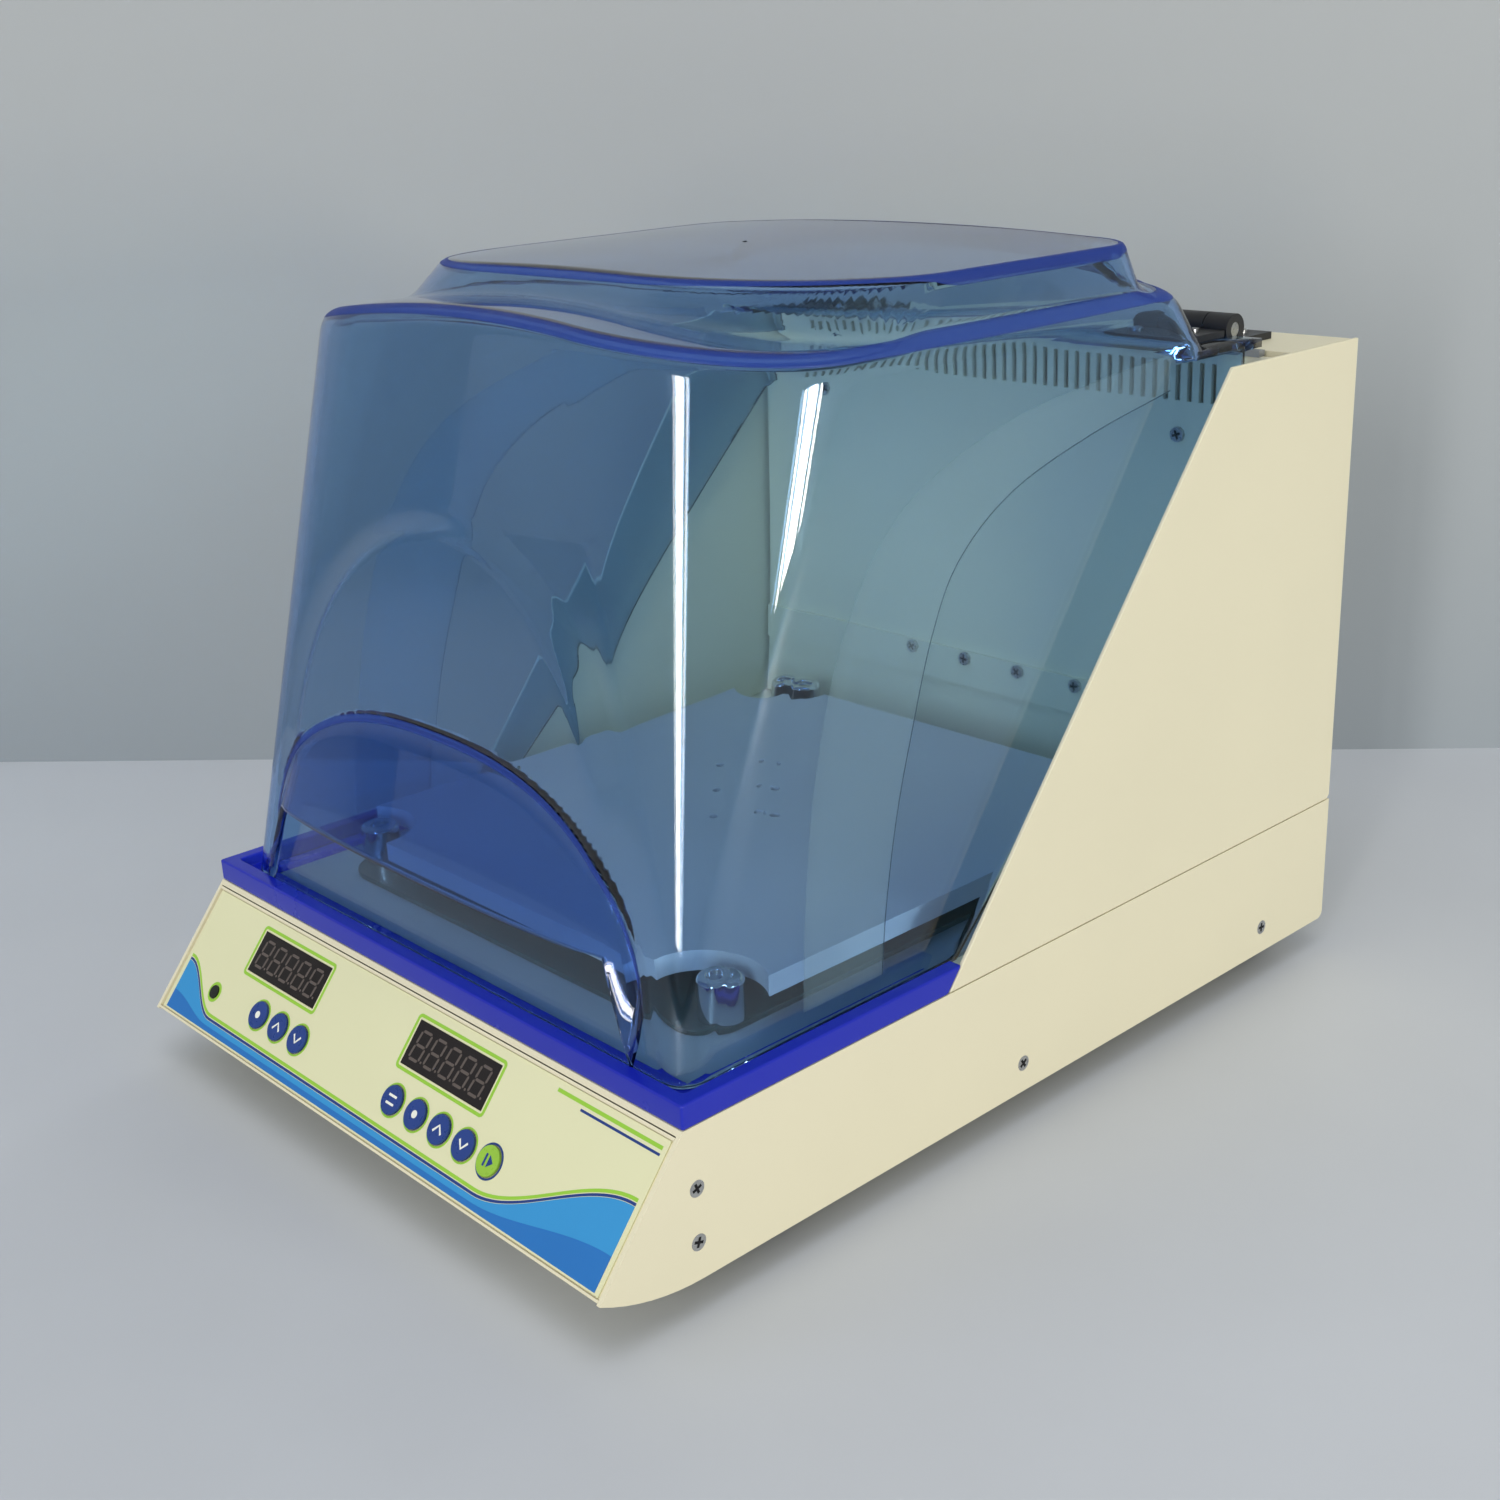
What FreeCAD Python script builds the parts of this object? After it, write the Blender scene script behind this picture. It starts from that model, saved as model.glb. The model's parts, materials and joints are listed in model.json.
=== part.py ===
# Incubated benchtop shaker: a heated chamber under a hinged clear lid, with an orbiting platform.
# X runs to the right as seen from the control panel, Y to the back and Z up, in millimetres.
# The origin is on the bench, under the middle of the instrument.
import FreeCAD, Part
import math
import os
import re
import Sketcher

Vector = FreeCAD.Vector
Rotation = FreeCAD.Rotation
Placement = FreeCAD.Placement

doc = FreeCAD.newDocument("benchtop_shaker")

# The driving dimensions, each written once with what it means.
SIZES = [
    ("housing_width", 260, "overall width of the sheet metal housing"),
    ("rear_y", 182, "rear face of the housing"),
    ("sheet_gauge", 1.5, "sheet metal thickness"),
    ("fit_gap", 0.1, "assembly gap between sheet metal pieces"),
    ("seam_gap", 0.3, "visible seam between casing and hood"),
    ("foot_height", 12, "height of the rubber feet, so the underside of the casing"),
    ("foot_radius", 11, "radius of a foot at its top"),
    ("foot_x", "=housing_width / 2 - 22", "distance of the feet from the middle"),
    ("front_foot_y", -105, "place of the front feet"),
    ("rear_foot_y", 155, "place of the rear feet"),
    ("deck_height", 62, "top of the casing"),
    ("nose_y", -182, "front lower edge of the control panel"),
    ("nose_height", 21.7, "height of that edge"),
    ("panel_top_y", -149, "front upper edge of the control panel"),
    ("underside_radius", 79.3, "radius of the underside where it sweeps up to the nose"),
    ("rim_height", 8, "height of the blue rim round the chamber"),
    ("rim_lip", 5.5, "width of the raised outer lip of the rim"),
    ("rim_width", 15, "whole width of the rim"),
    ("rim_ledge_height", 4, "height of the ledge that the lid comes down on"),
    ("wing_foot_y", -38, "front foot of the slanted hood side"),
    ("wing_top_y", 104.5, "front upper corner of the hood side"),
    ("hood_height", "=crown_height - 36.5", "top of the hood"),
    ("hood_top_y", 141, "front edge of the hood's top plate"),
    ("hood_bend", 3, "bend radius of the hood cover"),
    ("vent_width", 3, "width of a vent slot in the hood's back"),
    ("vent_height", 42, "height of a vent slot in the hood's back"),
    ("vent_pitch", 8, "spacing of the vent slots"),
    ("vent_count", 10, "vent slots in the hood's back"),
    ("vent_base", "=crown_height - 106", "lower end of the vent slots"),
    ("liner_y", 135.6, "front face of the chamber's back wall"),
    ("liner_top", "=crown_height - 38", "top of the chamber's back wall"),
    ("liner_half_width", "=housing_width / 2 - 4", "half the width of the chamber's back wall"),
    ("slot_width", 2, "width of an air slot in the back wall"),
    ("slot_height", 14, "height of an air slot"),
    ("slot_base", "=crown_height - 56", "lower end of the air slots"),
    ("slot_pitch", 5, "spacing of the air slots"),
    ("slot_count", 41, "air slots in the back wall"),
    ("strip_base", 90, "lower edge of the strip across the back wall"),
    ("strip_height", 15, "height of that strip"),
    ("floor_gauge", 1.5, "thickness of the chamber floor"),
    ("tray_half_width", "=housing_width / 2 - 31", "half the width of the drive cover"),
    ("tray_front_y", -114, "front edge of the drive cover"),
    ("tray_rear_y", 128, "rear edge of the drive cover"),
    ("tray_corner", 14, "corner radius of the drive cover"),
    ("tray_gauge", 2, "thickness of the drive cover"),
    ("opening_half_width", "=housing_width / 2 - 40", "half the width of the opening in the deck"),
    ("opening_front_y", -96, "front edge of the opening in the deck"),
    ("opening_rear_y", 108, "rear edge of the opening in the deck"),
    ("plate_gauge", 3, "thickness of the bearing plate under the deck"),
    ("spindle_y", 8, "place of the drive spindle"),
    ("orbit_radius", 9.5, "half the orbit of the platform"),
    ("spindle_radius", 6, "radius of the drive spindle"),
    ("running_fit", 0.05, "radial clearance of shafts in their bearings"),
    ("seat_fit", 0.02, "radial clearance of parts seated on a shaft or in a housing"),
    ("plate_fit", 0.08, "radial clearance of the barrels that pass through the bearing plate"),
    ("rocker_pin_radius", 1.2, "radius of the pin that the mains rocker tilts on"),
    ("bearing_radius", 11, "outer radius of a spindle bearing"),
    ("bearing_width", 7, "width of a spindle bearing"),
    ("bearing_lower_z", "=deck_height - 24", "underside of the lower spindle bearing"),
    ("housing_radius", 16, "outer radius of the spindle housing"),
    ("housing_flange_radius", 24, "radius of the spindle housing's flange"),
    ("crank_radius", 20, "radius of the crank disc on the spindle"),
    ("crank_height", 4, "thickness of the crank disc"),
    ("crank_gap", 0.5, "gap between the drive cover and the crank discs"),
    ("pin_radius", 5, "radius of the crank pin"),
    ("hub_radius", 13, "outer radius of the platform's bearing hub"),
    ("idler_x", 62, "distance of the idler cranks from the middle"),
    ("idler_shaft_radius", 4, "radius of the idler shafts and pins"),
    ("idler_disc_radius", 15, "radius of the idler crank discs"),
    ("idler_hub_radius", 9, "outer radius of the idler hubs and bushes"),
    ("pulley_radius", 38, "belt radius of the drive pulley"),
    ("pulley_base", "=deck_height - 40", "underside of the drive pulley"),
    ("pulley_height", 8, "height of the pulleys"),
    ("pulley_flange", 2, "how far the pulley flanges stand out"),
    ("motor_pulley_radius", 9, "belt radius of the motor pulley"),
    ("motor_x", -66, "place of the motor"),
    ("motor_y", 78, "place of the motor"),
    ("motor_radius", 20, "radius of the motor can"),
    ("motor_length", 25, "length of the motor can"),
    ("motor_shaft_radius", 3, "radius of the motor shaft"),
    ("belt_gauge", 1.4, "thickness of the belt"),
    ("belt_gap", 0.3, "gap between belt and pulleys"),
    ("weight_radius", 34, "radius of the counterweight"),
    ("weight_height", 5, "thickness of the counterweight"),
    ("platform_half_width", "=housing_width / 2 - 25", "half the width of the platform"),
    ("platform_half_depth", 109, "half the depth of the platform"),
    ("platform_top", "=deck_height + 19", "top of the platform"),
    ("platform_gauge", 2, "sheet thickness of the platform"),
    ("platform_edge", 7, "height of the platform's turned down edge"),
    ("post_x", "=housing_width / 2 - 38", "distance of the corner posts from the middle"),
    ("post_y", 108, "distance of the corner posts from the spindle, front and back"),
    ("post_radius", 7, "radius of a corner post"),
    ("post_height", 15, "height of a corner post"),
    ("post_clearance", 4.6, "gap between a post and its notch when they come closest"),
    ("clamp_hole_radius", 1.75, "radius of the clamp screw holes in the platform"),
    ("clamp_row_length", 53, "distance between the outer clamp holes of a row"),
    ("clamp_row_spacing", 21, "distance between the two rows of clamp holes"),
    ("clamp_shift_x", -12.5, "middle of the clamp holes, across from the platform's middle"),
    ("clamp_shift_y", 10.5, "middle of the clamp holes, back from the platform's middle"),
    ("lid_bottom", "=deck_height + 4.5", "lower edge of the lid"),
    ("lid_wall", 3, "wall of the lid"),
    ("lid_foot_half_width", "=housing_width / 2 - 8.5", "half the width of the lid at its lower edge"),
    ("lid_foot_front_y", -141.5, "front of the lid at its lower edge"),
    ("lid_foot_corner", 10, "corner radius of the lid at its lower edge"),
    ("lid_shoulder_height", "=crown_height - 12", "height at which the shoulder sizes are given"),
    ("lid_shoulder_half_width", "=housing_width / 2 - 14", "half the width of the lid at its shoulder"),
    ("lid_shoulder_front_y", -114.5, "front of the lid at its shoulder"),
    ("lid_shoulder_corner", 60, "corner radius of the lid at its shoulder"),
    ("lid_edge_round", 7, "rounding of the lid's upper edge"),
    ("crown_height", 274, "height of the lid's crown on its middle line, without the dome"),
    ("crown_radius", 561, "radius of the crown across the lid"),
    ("dome_height", "=crown_height + 8", "top of the dome on the middle line"),
    ("dome_crown_radius", 1550, "radius of the dome's top across the lid"),
    ("dome_foot_half_width", "=housing_width / 2 - 19", "half the width of the dome at its foot"),
    ("dome_foot_front_y", -98, "front of the dome at its foot"),
    ("dome_foot_rear_y", 92, "rear of the dome at its foot"),
    ("dome_foot_corner", 65, "corner radius of the dome's front at its foot"),
    ("dome_top_half_width", "=housing_width / 2 - 26", "half the width of the dome at its top"),
    ("dome_top_front_y", -69, "front of the dome at its top"),
    ("dome_top_rear_y", 84, "rear of the dome at its top"),
    ("dome_top_corner", 70, "corner radius of the dome's front at its top"),
    ("dome_rear_corner", 14, "corner radius of the dome's rear"),
    ("lid_rear_top_y", 99, "upper end of the lid's slanted rear wall"),
    ("lid_rear_foot_y", 116, "lower end of the lid's slanted rear wall"),
    ("lid_side_foot_y", -25, "rear end of the lid's side at its lower edge"),
    ("lid_side_rear_y", 131, "rear end of the lid's side where it turns upright"),
    ("lid_side_rear_height", "=crown_height - 61", "height of that turn"),
    ("flange_base", "=crown_height - 35.5", "underside of the lid's rear flange"),
    ("flange_rear_y", 141.5, "rear edge of the lid's rear flange"),
    ("grip_top", 150, "height of the grip arch, up the front from the lid's lower edge"),
    ("grip_half_width", "=housing_width / 2 - 25", "half the width of the grip arch at its foot"),
    ("grip_face_half_width", "=housing_width / 2 - 49", "half the width of the raised face of the grip arch"),
    ("grip_face_top", 143, "top of the raised face, up the front"),
    ("grip_rise", 3, "how far the face of the grip arch stands out"),
    ("grip_crease", 78, "top of the line where the lip starts to flare, up the front"),
    ("grip_lip", 33, "free edge of the lip, up the front"),
    ("grip_lip_rise", 13, "how far the free edge of the lip stands out"),
    ("grip_lip_half_width", "=housing_width / 2 - 37", "half the width of the lip's free edge"),
    ("hinge_y", 142.5, "hinge axis"),
    ("hinge_z", "=crown_height - 30.5", "hinge axis"),
    ("hinge_outer_x", "=housing_width / 2 - 25", "outer end of a hinge"),
    ("hinge_length", 40, "length of a hinge"),
    ("hinge_knuckle", 10, "length of an outer knuckle"),
    ("knuckle_radius", 5.5, "radius of the hinge barrel"),
    ("hinge_pin_radius", 2.5, "radius of the hinge pin"),
    ("leaf_gauge", 2.5, "thickness of a hinge leaf"),
    ("leaf_depth", 21, "depth of a hinge leaf"),
    ("display_width", 44, "width of a display"),
    ("display_height", 15, "height of a display"),
    ("display_v", 36, "middle of the displays, up the panel"),
    ("temperature_u", -68.2, "middle of the left display"),
    ("speed_u", 29.8, "middle of the right display"),
    ("key_v", 17.2, "middle of the key row, up the panel"),
    ("key_radius", 4.8, "radius of a key"),
    ("key_gap", 0.25, "gap round a key"),
    ("key_pitch", 13, "spacing of the keys"),
    ("temperature_key_u", -71.4, "first of the left keys"),
    ("speed_key_u", 13, "first of the right keys"),
    ("key_travel", 0.5, "travel of a key"),
    ("key_stem_radius", 1.5, "radius of a key's stem"),
    ("lamp_u", "=28 - housing_width / 2", "heat lamp across the panel"),
    ("lamp_v", 15.7, "heat lamp up the panel"),
    ("lamp_radius", 2.4, "radius of the heat lamp"),
    ("panel_recess", 1, "how far the panel lies behind the edges of the casing"),
    ("overlay_gauge", 0.5, "thickness of the keypad overlay"),
    ("board_depth", 12.4, "front of the control board behind the panel"),
    ("board_gauge", 1.6, "thickness of the control board"),
    ("screw_head_radius", 2.7, "radius of a countersunk screw head"),
    ("screw_radius", 1.5, "radius of a screw's shank"),
    ("fan_size", 60, "side of the fan frame"),
    ("fan_depth", 15, "depth of the fan frame"),
    ("fan_z", "=crown_height - 96", "middle of the fan"),
    ("heater_height", 30, "height of the air heater"),
    ("heater_gap", 6, "gap between the fan frame and the heater under it"),
    ("inlet_x", -86, "middle of the mains inlet"),
    ("inlet_z", 36, "middle of the mains inlet"),
    ("switch_x", -50, "middle of the mains switch"),
]

sheet = doc.addObject("Spreadsheet::Sheet", "Sizes")
for row, (alias, number, meaning) in enumerate(SIZES, start=1):
    sheet.set(f"A{row}", meaning)
    sheet.set(f"B{row}", str(number))
    sheet.setAlias(f"B{row}", alias)
doc.recompute()
ALIASES = {alias for alias, number, meaning in SIZES}
probe = doc.addObject("Part::Box", "Probe")

PANEL_ANGLE = "atan2(deck_height - nose_height; panel_top_y - nose_y)"
TRAY_TOP = "deck_height + floor_gauge + tray_gauge"
PIN_Y = "spindle_y - orbit_radius"
CRANK_TOP = f"{TRAY_TOP} + crank_gap + crank_height"
PLATE_BASE = "deck_height - sheet_gauge - plate_gauge"
UPRIGHT = {"X": (0, 1, 0, 90), "Y": (1, 0, 0, -90), "Z": (0, 0, 1, 0)}
NODES = {}


def formula(text):
    """Put the sheet's name in front of each size that a formula names."""
    return re.sub(r"[a-z_]+", lambda m: "Sizes." + m.group(0) if m.group(0) in ALIASES else m.group(0), text)


def value(text):
    """Work a formula out as a plain number of millimetres or degrees."""
    result = probe.evalExpression(formula(text))
    return float(getattr(result, "Value", result))


def bind(item, prop, text):
    """Tie a property to a formula of the sheet."""
    item.setExpression(prop, formula(text))


def place(item, x, y, z, turn=None):
    """Tie an object's place to formulas, with a fixed axis and a bound angle where it is turned."""
    if turn:
        axis, angle = turn
        item.Placement = Placement(Vector(0, 0, 0), Rotation(Vector(*axis), 10))
        bind(item, "Placement.Rotation.Angle", angle)
    for key, text in zip("xyz", (x, y, z)):
        bind(item, f"Placement.Base.{key}", text)


def node(name, item):
    """Give a finished sub-part its name."""
    item.Label = name
    NODES[name] = item
    return item


def block(name, x, y, z):
    """A box between two formulas on each axis."""
    item = doc.addObject("Part::Box", name)
    for prop, (low, high) in zip(("Length", "Width", "Height"), (x, y, z)):
        bind(item, prop, f"({high}) - ({low})")
    place(item, x[0], y[0], z[0])
    return item


def rod(name, radius, length, x, y, z, along="Z"):
    """A cylinder that starts at a point and runs along an axis."""
    item = doc.addObject("Part::Cylinder", name)
    bind(item, "Radius", radius)
    bind(item, "Height", length)
    ax, ay, az, angle = UPRIGHT[along]
    item.Placement = Placement(Vector(0, 0, 0), Rotation(Vector(ax, ay, az), angle))
    for key, text in zip("xyz", (x, y, z)):
        bind(item, f"Placement.Base.{key}", text)
    return item


def taper(name, low_radius, high_radius, length, x, y, z, along="Z"):
    """A cone that starts at a point and runs along an axis."""
    item = doc.addObject("Part::Cone", name)
    bind(item, "Radius1", low_radius)
    bind(item, "Radius2", high_radius)
    bind(item, "Height", length)
    ax, ay, az, angle = UPRIGHT[along]
    item.Placement = Placement(Vector(0, 0, 0), Rotation(Vector(ax, ay, az), angle))
    for key, text in zip("xyz", (x, y, z)):
        bind(item, f"Placement.Base.{key}", text)
    return item


def join(name, items):
    """Fuse pieces into one solid."""
    item = doc.addObject("Part::MultiFuse", name)
    item.Shapes = items
    return item


def cut(name, base, tools):
    """Take tools out of a base."""
    item = doc.addObject("Part::Cut", name)
    item.Base = base
    item.Tool = tools[0] if len(tools) == 1 else join(name + "_tools", tools)
    return item


def group(name, items):
    """Keep like pieces together as separate solids."""
    item = doc.addObject("Part::Compound", name)
    item.Links = items
    return item


def sketch_on(body, name, plane, corners, offset="0", arcs=None):
    """A closed outline on a plane of the body. Each corner is tied to two formulas.

    arcs maps the number of a side to the formula of its radius and the side that it bulges to.
    """
    sketch = body.newObject("Sketcher::SketchObject", name)
    origin_plane = [f for f in body.Origin.OriginFeatures if f.Role == plane][0]
    sketch.AttachmentSupport = [(origin_plane, "")]
    sketch.MapMode = "FlatFace"
    bind(sketch, "AttachmentOffset.Base.z", offset)
    arcs = arcs or {}
    points = [Vector(value(across), value(up), 0) for across, up in corners]
    count = len(points)
    ends = []
    for index, start in enumerate(points):
        end = points[(index + 1) % count]
        if index in arcs:
            radius, bulge = arcs[index]
            middle = arc_middle(start, end, value(radius), bulge)
            arc = Part.Arc(start, middle, end)
            sketch.addGeometry(arc)
            swapped = arc.StartPoint.distanceToPoint(sketch.getPoint(index, 1)) > 0.001
            first_is_start = sketch.getPoint(index, 1).distanceToPoint(start) < 0.001
            ends.append((1, 2) if first_is_start and not swapped else (2, 1))
        else:
            sketch.addGeometry(Part.LineSegment(start, end))
            ends.append((1, 2))
    for index in range(count):
        following = (index + 1) % count
        sketch.addConstraint(Sketcher.Constraint("Coincident", index, ends[index][1],
                                                 following, ends[following][0]))
    for index, (across, up) in enumerate(corners):
        for kind, text in (("DistanceX", across), ("DistanceY", up)):
            number = sketch.addConstraint(Sketcher.Constraint(kind, index, ends[index][0], value(text)))
            bind(sketch, f"Constraints[{number}]", text)
    for index, (radius, bulge) in arcs.items():
        number = sketch.addConstraint(Sketcher.Constraint("Radius", index, value(radius)))
        bind(sketch, f"Constraints[{number}]", radius)
    return sketch


def arc_middle(start, end, radius, bulge):
    """The point halfway along an arc through two points, on the side that bulge gives as 1 or -1."""
    chord = end - start
    half = chord.Length / 2
    rise = radius - math.sqrt(max(radius * radius - half * half, 0))
    normal = Vector(-chord.y, chord.x, 0).normalize()
    return start + chord * 0.5 + normal * (rise * bulge)


def pad(body, sketch, length, symmetric=True):
    """Pad a sketch, to both sides of its plane or along its normal."""
    feature = body.newObject("PartDesign::Pad", sketch.Name + "_pad")
    feature.Profile = sketch
    feature.SideType = "Symmetric" if symmetric else "One side"
    bind(feature, "Length", length)
    sketch.Visibility = False
    return feature


def pocket(body, sketch, length, symmetric=True, reverse=False):
    """Cut a sketch out of the body, and check that something went."""
    doc.recompute()
    before = body.Shape.Volume
    feature = body.newObject("PartDesign::Pocket", sketch.Name + "_pocket")
    feature.Profile = sketch
    feature.SideType = "Symmetric" if symmetric else "One side"
    feature.Reversed = reverse
    bind(feature, "Length", length)
    doc.recompute()
    if body.Shape.Volume >= before:
        raise RuntimeError("a pocket in " + body.Name + " cuts nothing")
    return feature


def row_of(body, feature, count, pitch):
    """Repeat a feature along X, centred on the first one's own place."""
    pattern = body.newObject("PartDesign::LinearPattern", feature.Name + "_row")
    pattern.Originals = [feature]
    axis = [f for f in body.Origin.OriginFeatures if f.Role == "X_Axis"][0]
    pattern.Direction = (axis, [""])
    bind(pattern, "Occurrences", count)
    bind(pattern, "Length", f"({pitch}) * ({count} - 1)")
    body.Tip = pattern
    return pattern


def panel_point(v, w):
    """Y and Z of a point on the control panel: v up the slope, w out of it."""
    y = f"nose_y + ({v}) * cos({PANEL_ANGLE}) - ({w}) * sin({PANEL_ANGLE})"
    z = f"nose_height + ({v}) * sin({PANEL_ANGLE}) + ({w}) * cos({PANEL_ANGLE})"
    return y, z


def panel_block(name, u, v, w):
    """A box in the control panel's own directions."""
    item = doc.addObject("Part::Box", name)
    for prop, (low, high) in zip(("Length", "Width", "Height"), (u, v, w)):
        bind(item, prop, f"({high}) - ({low})")
    y, z = panel_point(v[0], w[0])
    place(item, u[0], y, z, turn=((1, 0, 0), PANEL_ANGLE))
    return item


def panel_rod(name, radius, u, v, w):
    """A cylinder square to the control panel."""
    item = doc.addObject("Part::Cylinder", name)
    bind(item, "Radius", radius)
    bind(item, "Height", f"({w[1]}) - ({w[0]})")
    y, z = panel_point(v, w[0])
    place(item, u, y, z, turn=((1, 0, 0), PANEL_ANGLE))
    return item


def side_profile():
    """Corners of the casing seen from the side, from the nose clockwise, with its swept underside."""
    sweep_y = ("nose_y + sqrt(2 * underside_radius * (nose_height - foot_height)"
               " - (nose_height - foot_height)^2)")
    corners = [
        ("nose_y", "nose_height"),
        (sweep_y, "foot_height"),
        ("rear_y - hood_bend", "foot_height"),
        ("rear_y", "foot_height + hood_bend"),
        ("rear_y", "deck_height"),
        ("panel_top_y", "deck_height"),
    ]
    return corners, {0: ("underside_radius", -1), 2: ("hood_bend", -1)}


SIDE_SCREWS = [("-145", "42"), ("-145.5", "24.5"), ("-1.5", "22.5"), ("139", "22.5")]


def screw_holes(name, side):
    """Countersunk holes through one side of the casing and what lies behind it."""
    tools = []
    for index, (y, z) in enumerate(SIDE_SCREWS):
        inner = f"{side} * (housing_width / 2 - 8)"
        reach = "8.5"
        start = inner if side > 0 else "-housing_width / 2 - 0.5"
        tools.append(rod(f"{name}_{index}", "screw_radius + seat_fit", reach, start, y, z, "X"))
        tools.append(screw_head(f"{name}_sink_{index}", side, y, z, "seat_fit"))
    return tools


def screw_head(name, side, y, z, grow="0"):
    """The cone of a countersunk head, its wide end flush with the casing's side."""
    wide = f"screw_head_radius + {grow}"
    slim = f"screw_radius + {grow}"
    if side > 0:
        return taper(name, slim, wide, "sheet_gauge", "housing_width / 2 - sheet_gauge", y, z, "X")
    return taper(name, wide, slim, "sheet_gauge", "-housing_width / 2", y, z, "X")


def make_casing():
    """The folded upper casing: two sides and the deck between them, open below, in front and behind."""
    body = doc.addObject("PartDesign::Body", "casing_body")
    corners, arcs = side_profile()
    pad(body, sketch_on(body, "casing_side", "YZ_Plane", corners, arcs=arcs), "housing_width")
    inside = [
        ("nose_y - 20", "foot_height - 20"),
        ("rear_y + 20", "foot_height - 20"),
        ("rear_y + 20", "deck_height - sheet_gauge"),
        ("nose_y - 20", "deck_height - sheet_gauge"),
    ]
    pocket(body, sketch_on(body, "casing_inside", "YZ_Plane", inside), "housing_width - 2 * sheet_gauge")
    opening = [
        ("-opening_half_width", "opening_front_y"),
        ("opening_half_width", "opening_front_y"),
        ("opening_half_width", "opening_rear_y"),
        ("-opening_half_width", "opening_rear_y"),
    ]
    sketch = sketch_on(body, "casing_opening", "XY_Plane", opening, offset="deck_height")
    pocket(body, sketch, "4 * sheet_gauge")
    holes = screw_holes("casing_hole_right", 1) + screw_holes("casing_hole_left", -1)
    node("base_casing", cut("base_casing", body, holes))


def make_bottom_tray():
    """The bottom tray, swept up at the nose, with upturned sides that the casing is screwed to."""
    body = doc.addObject("PartDesign::Body", "tray_body")
    drop = "(nose_height - foot_height)"
    sweep = f"sqrt(2 * underside_radius * {drop} - {drop}^2)"
    nose = f"({sweep} - 2.4 * sheet_gauge)"
    outer = f"foot_height + underside_radius - sqrt(underside_radius^2 - {nose}^2)"
    inner = f"foot_height + underside_radius - sqrt((underside_radius - sheet_gauge)^2 - {nose}^2)"
    corners = [
        ("nose_y + 2.4 * sheet_gauge", outer),
        (f"nose_y + {sweep}", "foot_height"),
        ("rear_y - 2 * hood_bend", "foot_height"),
        ("rear_y - 2 * hood_bend", "foot_height + sheet_gauge"),
        (f"nose_y + {sweep}", "foot_height + sheet_gauge"),
        ("nose_y + 2.4 * sheet_gauge", inner),
    ]
    arcs = {0: ("underside_radius", -1), 4: ("underside_radius - sheet_gauge", 1)}
    width = "housing_width - 2 * sheet_gauge - 2 * fit_gap"
    pad(body, sketch_on(body, "tray_side", "YZ_Plane", corners, arcs=arcs), width)
    pieces = [body]
    for side, label in ((1, "right"), (-1, "left")):
        outside = f"{side} * ({width}) / 2"
        inside = f"{side} * (({width}) / 2 - sheet_gauge)"
        ends = (inside, outside) if side > 0 else (outside, inside)
        flange = block(f"tray_flange_{label}", ends, ("-128", "rear_y - 2 * hood_bend"),
                       ("foot_height", "foot_height + 20"))
        pieces.append(flange)
    shell = join("tray_shell", pieces)
    holes = screw_holes("tray_hole_right", 1) + screw_holes("tray_hole_left", -1)
    for index, (x, y) in enumerate(foot_places()):
        holes.append(rod(f"tray_foot_hole_{index}", "screw_radius + seat_fit", "20", x, y, "0"))
    node("bottom_tray", cut("bottom_tray", shell, holes))


def foot_places():
    """The four feet, as formulas of X and Y."""
    return [(f"{side} * foot_x", y) for side in (1, -1) for y in ("front_foot_y", "rear_foot_y")]


def make_feet():
    """Four tapered rubber feet, each sunk for the screw that holds it."""
    feet = []
    screws = []
    for index, (x, y) in enumerate(foot_places()):
        foot = taper(f"foot_{index}", "foot_radius - 1.5", "foot_radius", "foot_height", x, y, "0")
        recess = rod(f"foot_recess_{index}", "screw_head_radius + 1.3", "foot_height / 2", x, y, "0")
        hole = rod(f"foot_hole_{index}", "screw_radius + seat_fit", "foot_height", x, y, "0")
        feet.append(cut(f"foot_cut_{index}", foot, [recess, hole]))
        head = rod(f"foot_screw_head_{index}", "screw_head_radius", "2", x, y, "foot_height / 2 - 2")
        shank = rod(f"foot_screw_shank_{index}", "screw_radius", "foot_height / 2 + 6", x, y,
                    "foot_height / 2")
        screws.append(join(f"foot_screw_{index}", [head, shank]))
    node("rubber_feet", group("rubber_feet", feet))
    return screws


def make_casing_screws(screws):
    """The screws of the feet and the countersunk screws in both sides of the casing."""
    for side, label in ((1, "right"), (-1, "left")):
        for index, (y, z) in enumerate(SIDE_SCREWS):
            head = screw_head(f"side_head_{label}_{index}", side, y, z)
            start = "housing_width / 2 - 7" if side > 0 else "-housing_width / 2 + sheet_gauge"
            length = "7 - sheet_gauge"
            shank = rod(f"side_shank_{label}_{index}", "screw_radius", length, start, y, z, "X")
            screws.append(join(f"side_screw_{label}_{index}", [head, shank]))
    node("casing_screws", group("casing_screws", screws))


def key_places():
    """The eight keys by name, as formulas across the panel."""
    left = ["temperature_set_key", "temperature_up_key", "temperature_down_key"]
    right = ["mode_key", "speed_set_key", "speed_up_key", "speed_down_key", "start_stop_key"]
    places = [(name, f"temperature_key_u + {index} * key_pitch") for index, name in enumerate(left)]
    places += [(name, f"speed_key_u + {index} * key_pitch") for index, name in enumerate(right)]
    return places


def display_span(u, grow):
    """Both ends of a display across and up the panel."""
    across = (f"{u} - display_width / 2 - {grow}", f"{u} + display_width / 2 + {grow}")
    up = (f"display_v - display_height / 2 - {grow}", f"display_v + display_height / 2 + {grow}")
    return across, up


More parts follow.
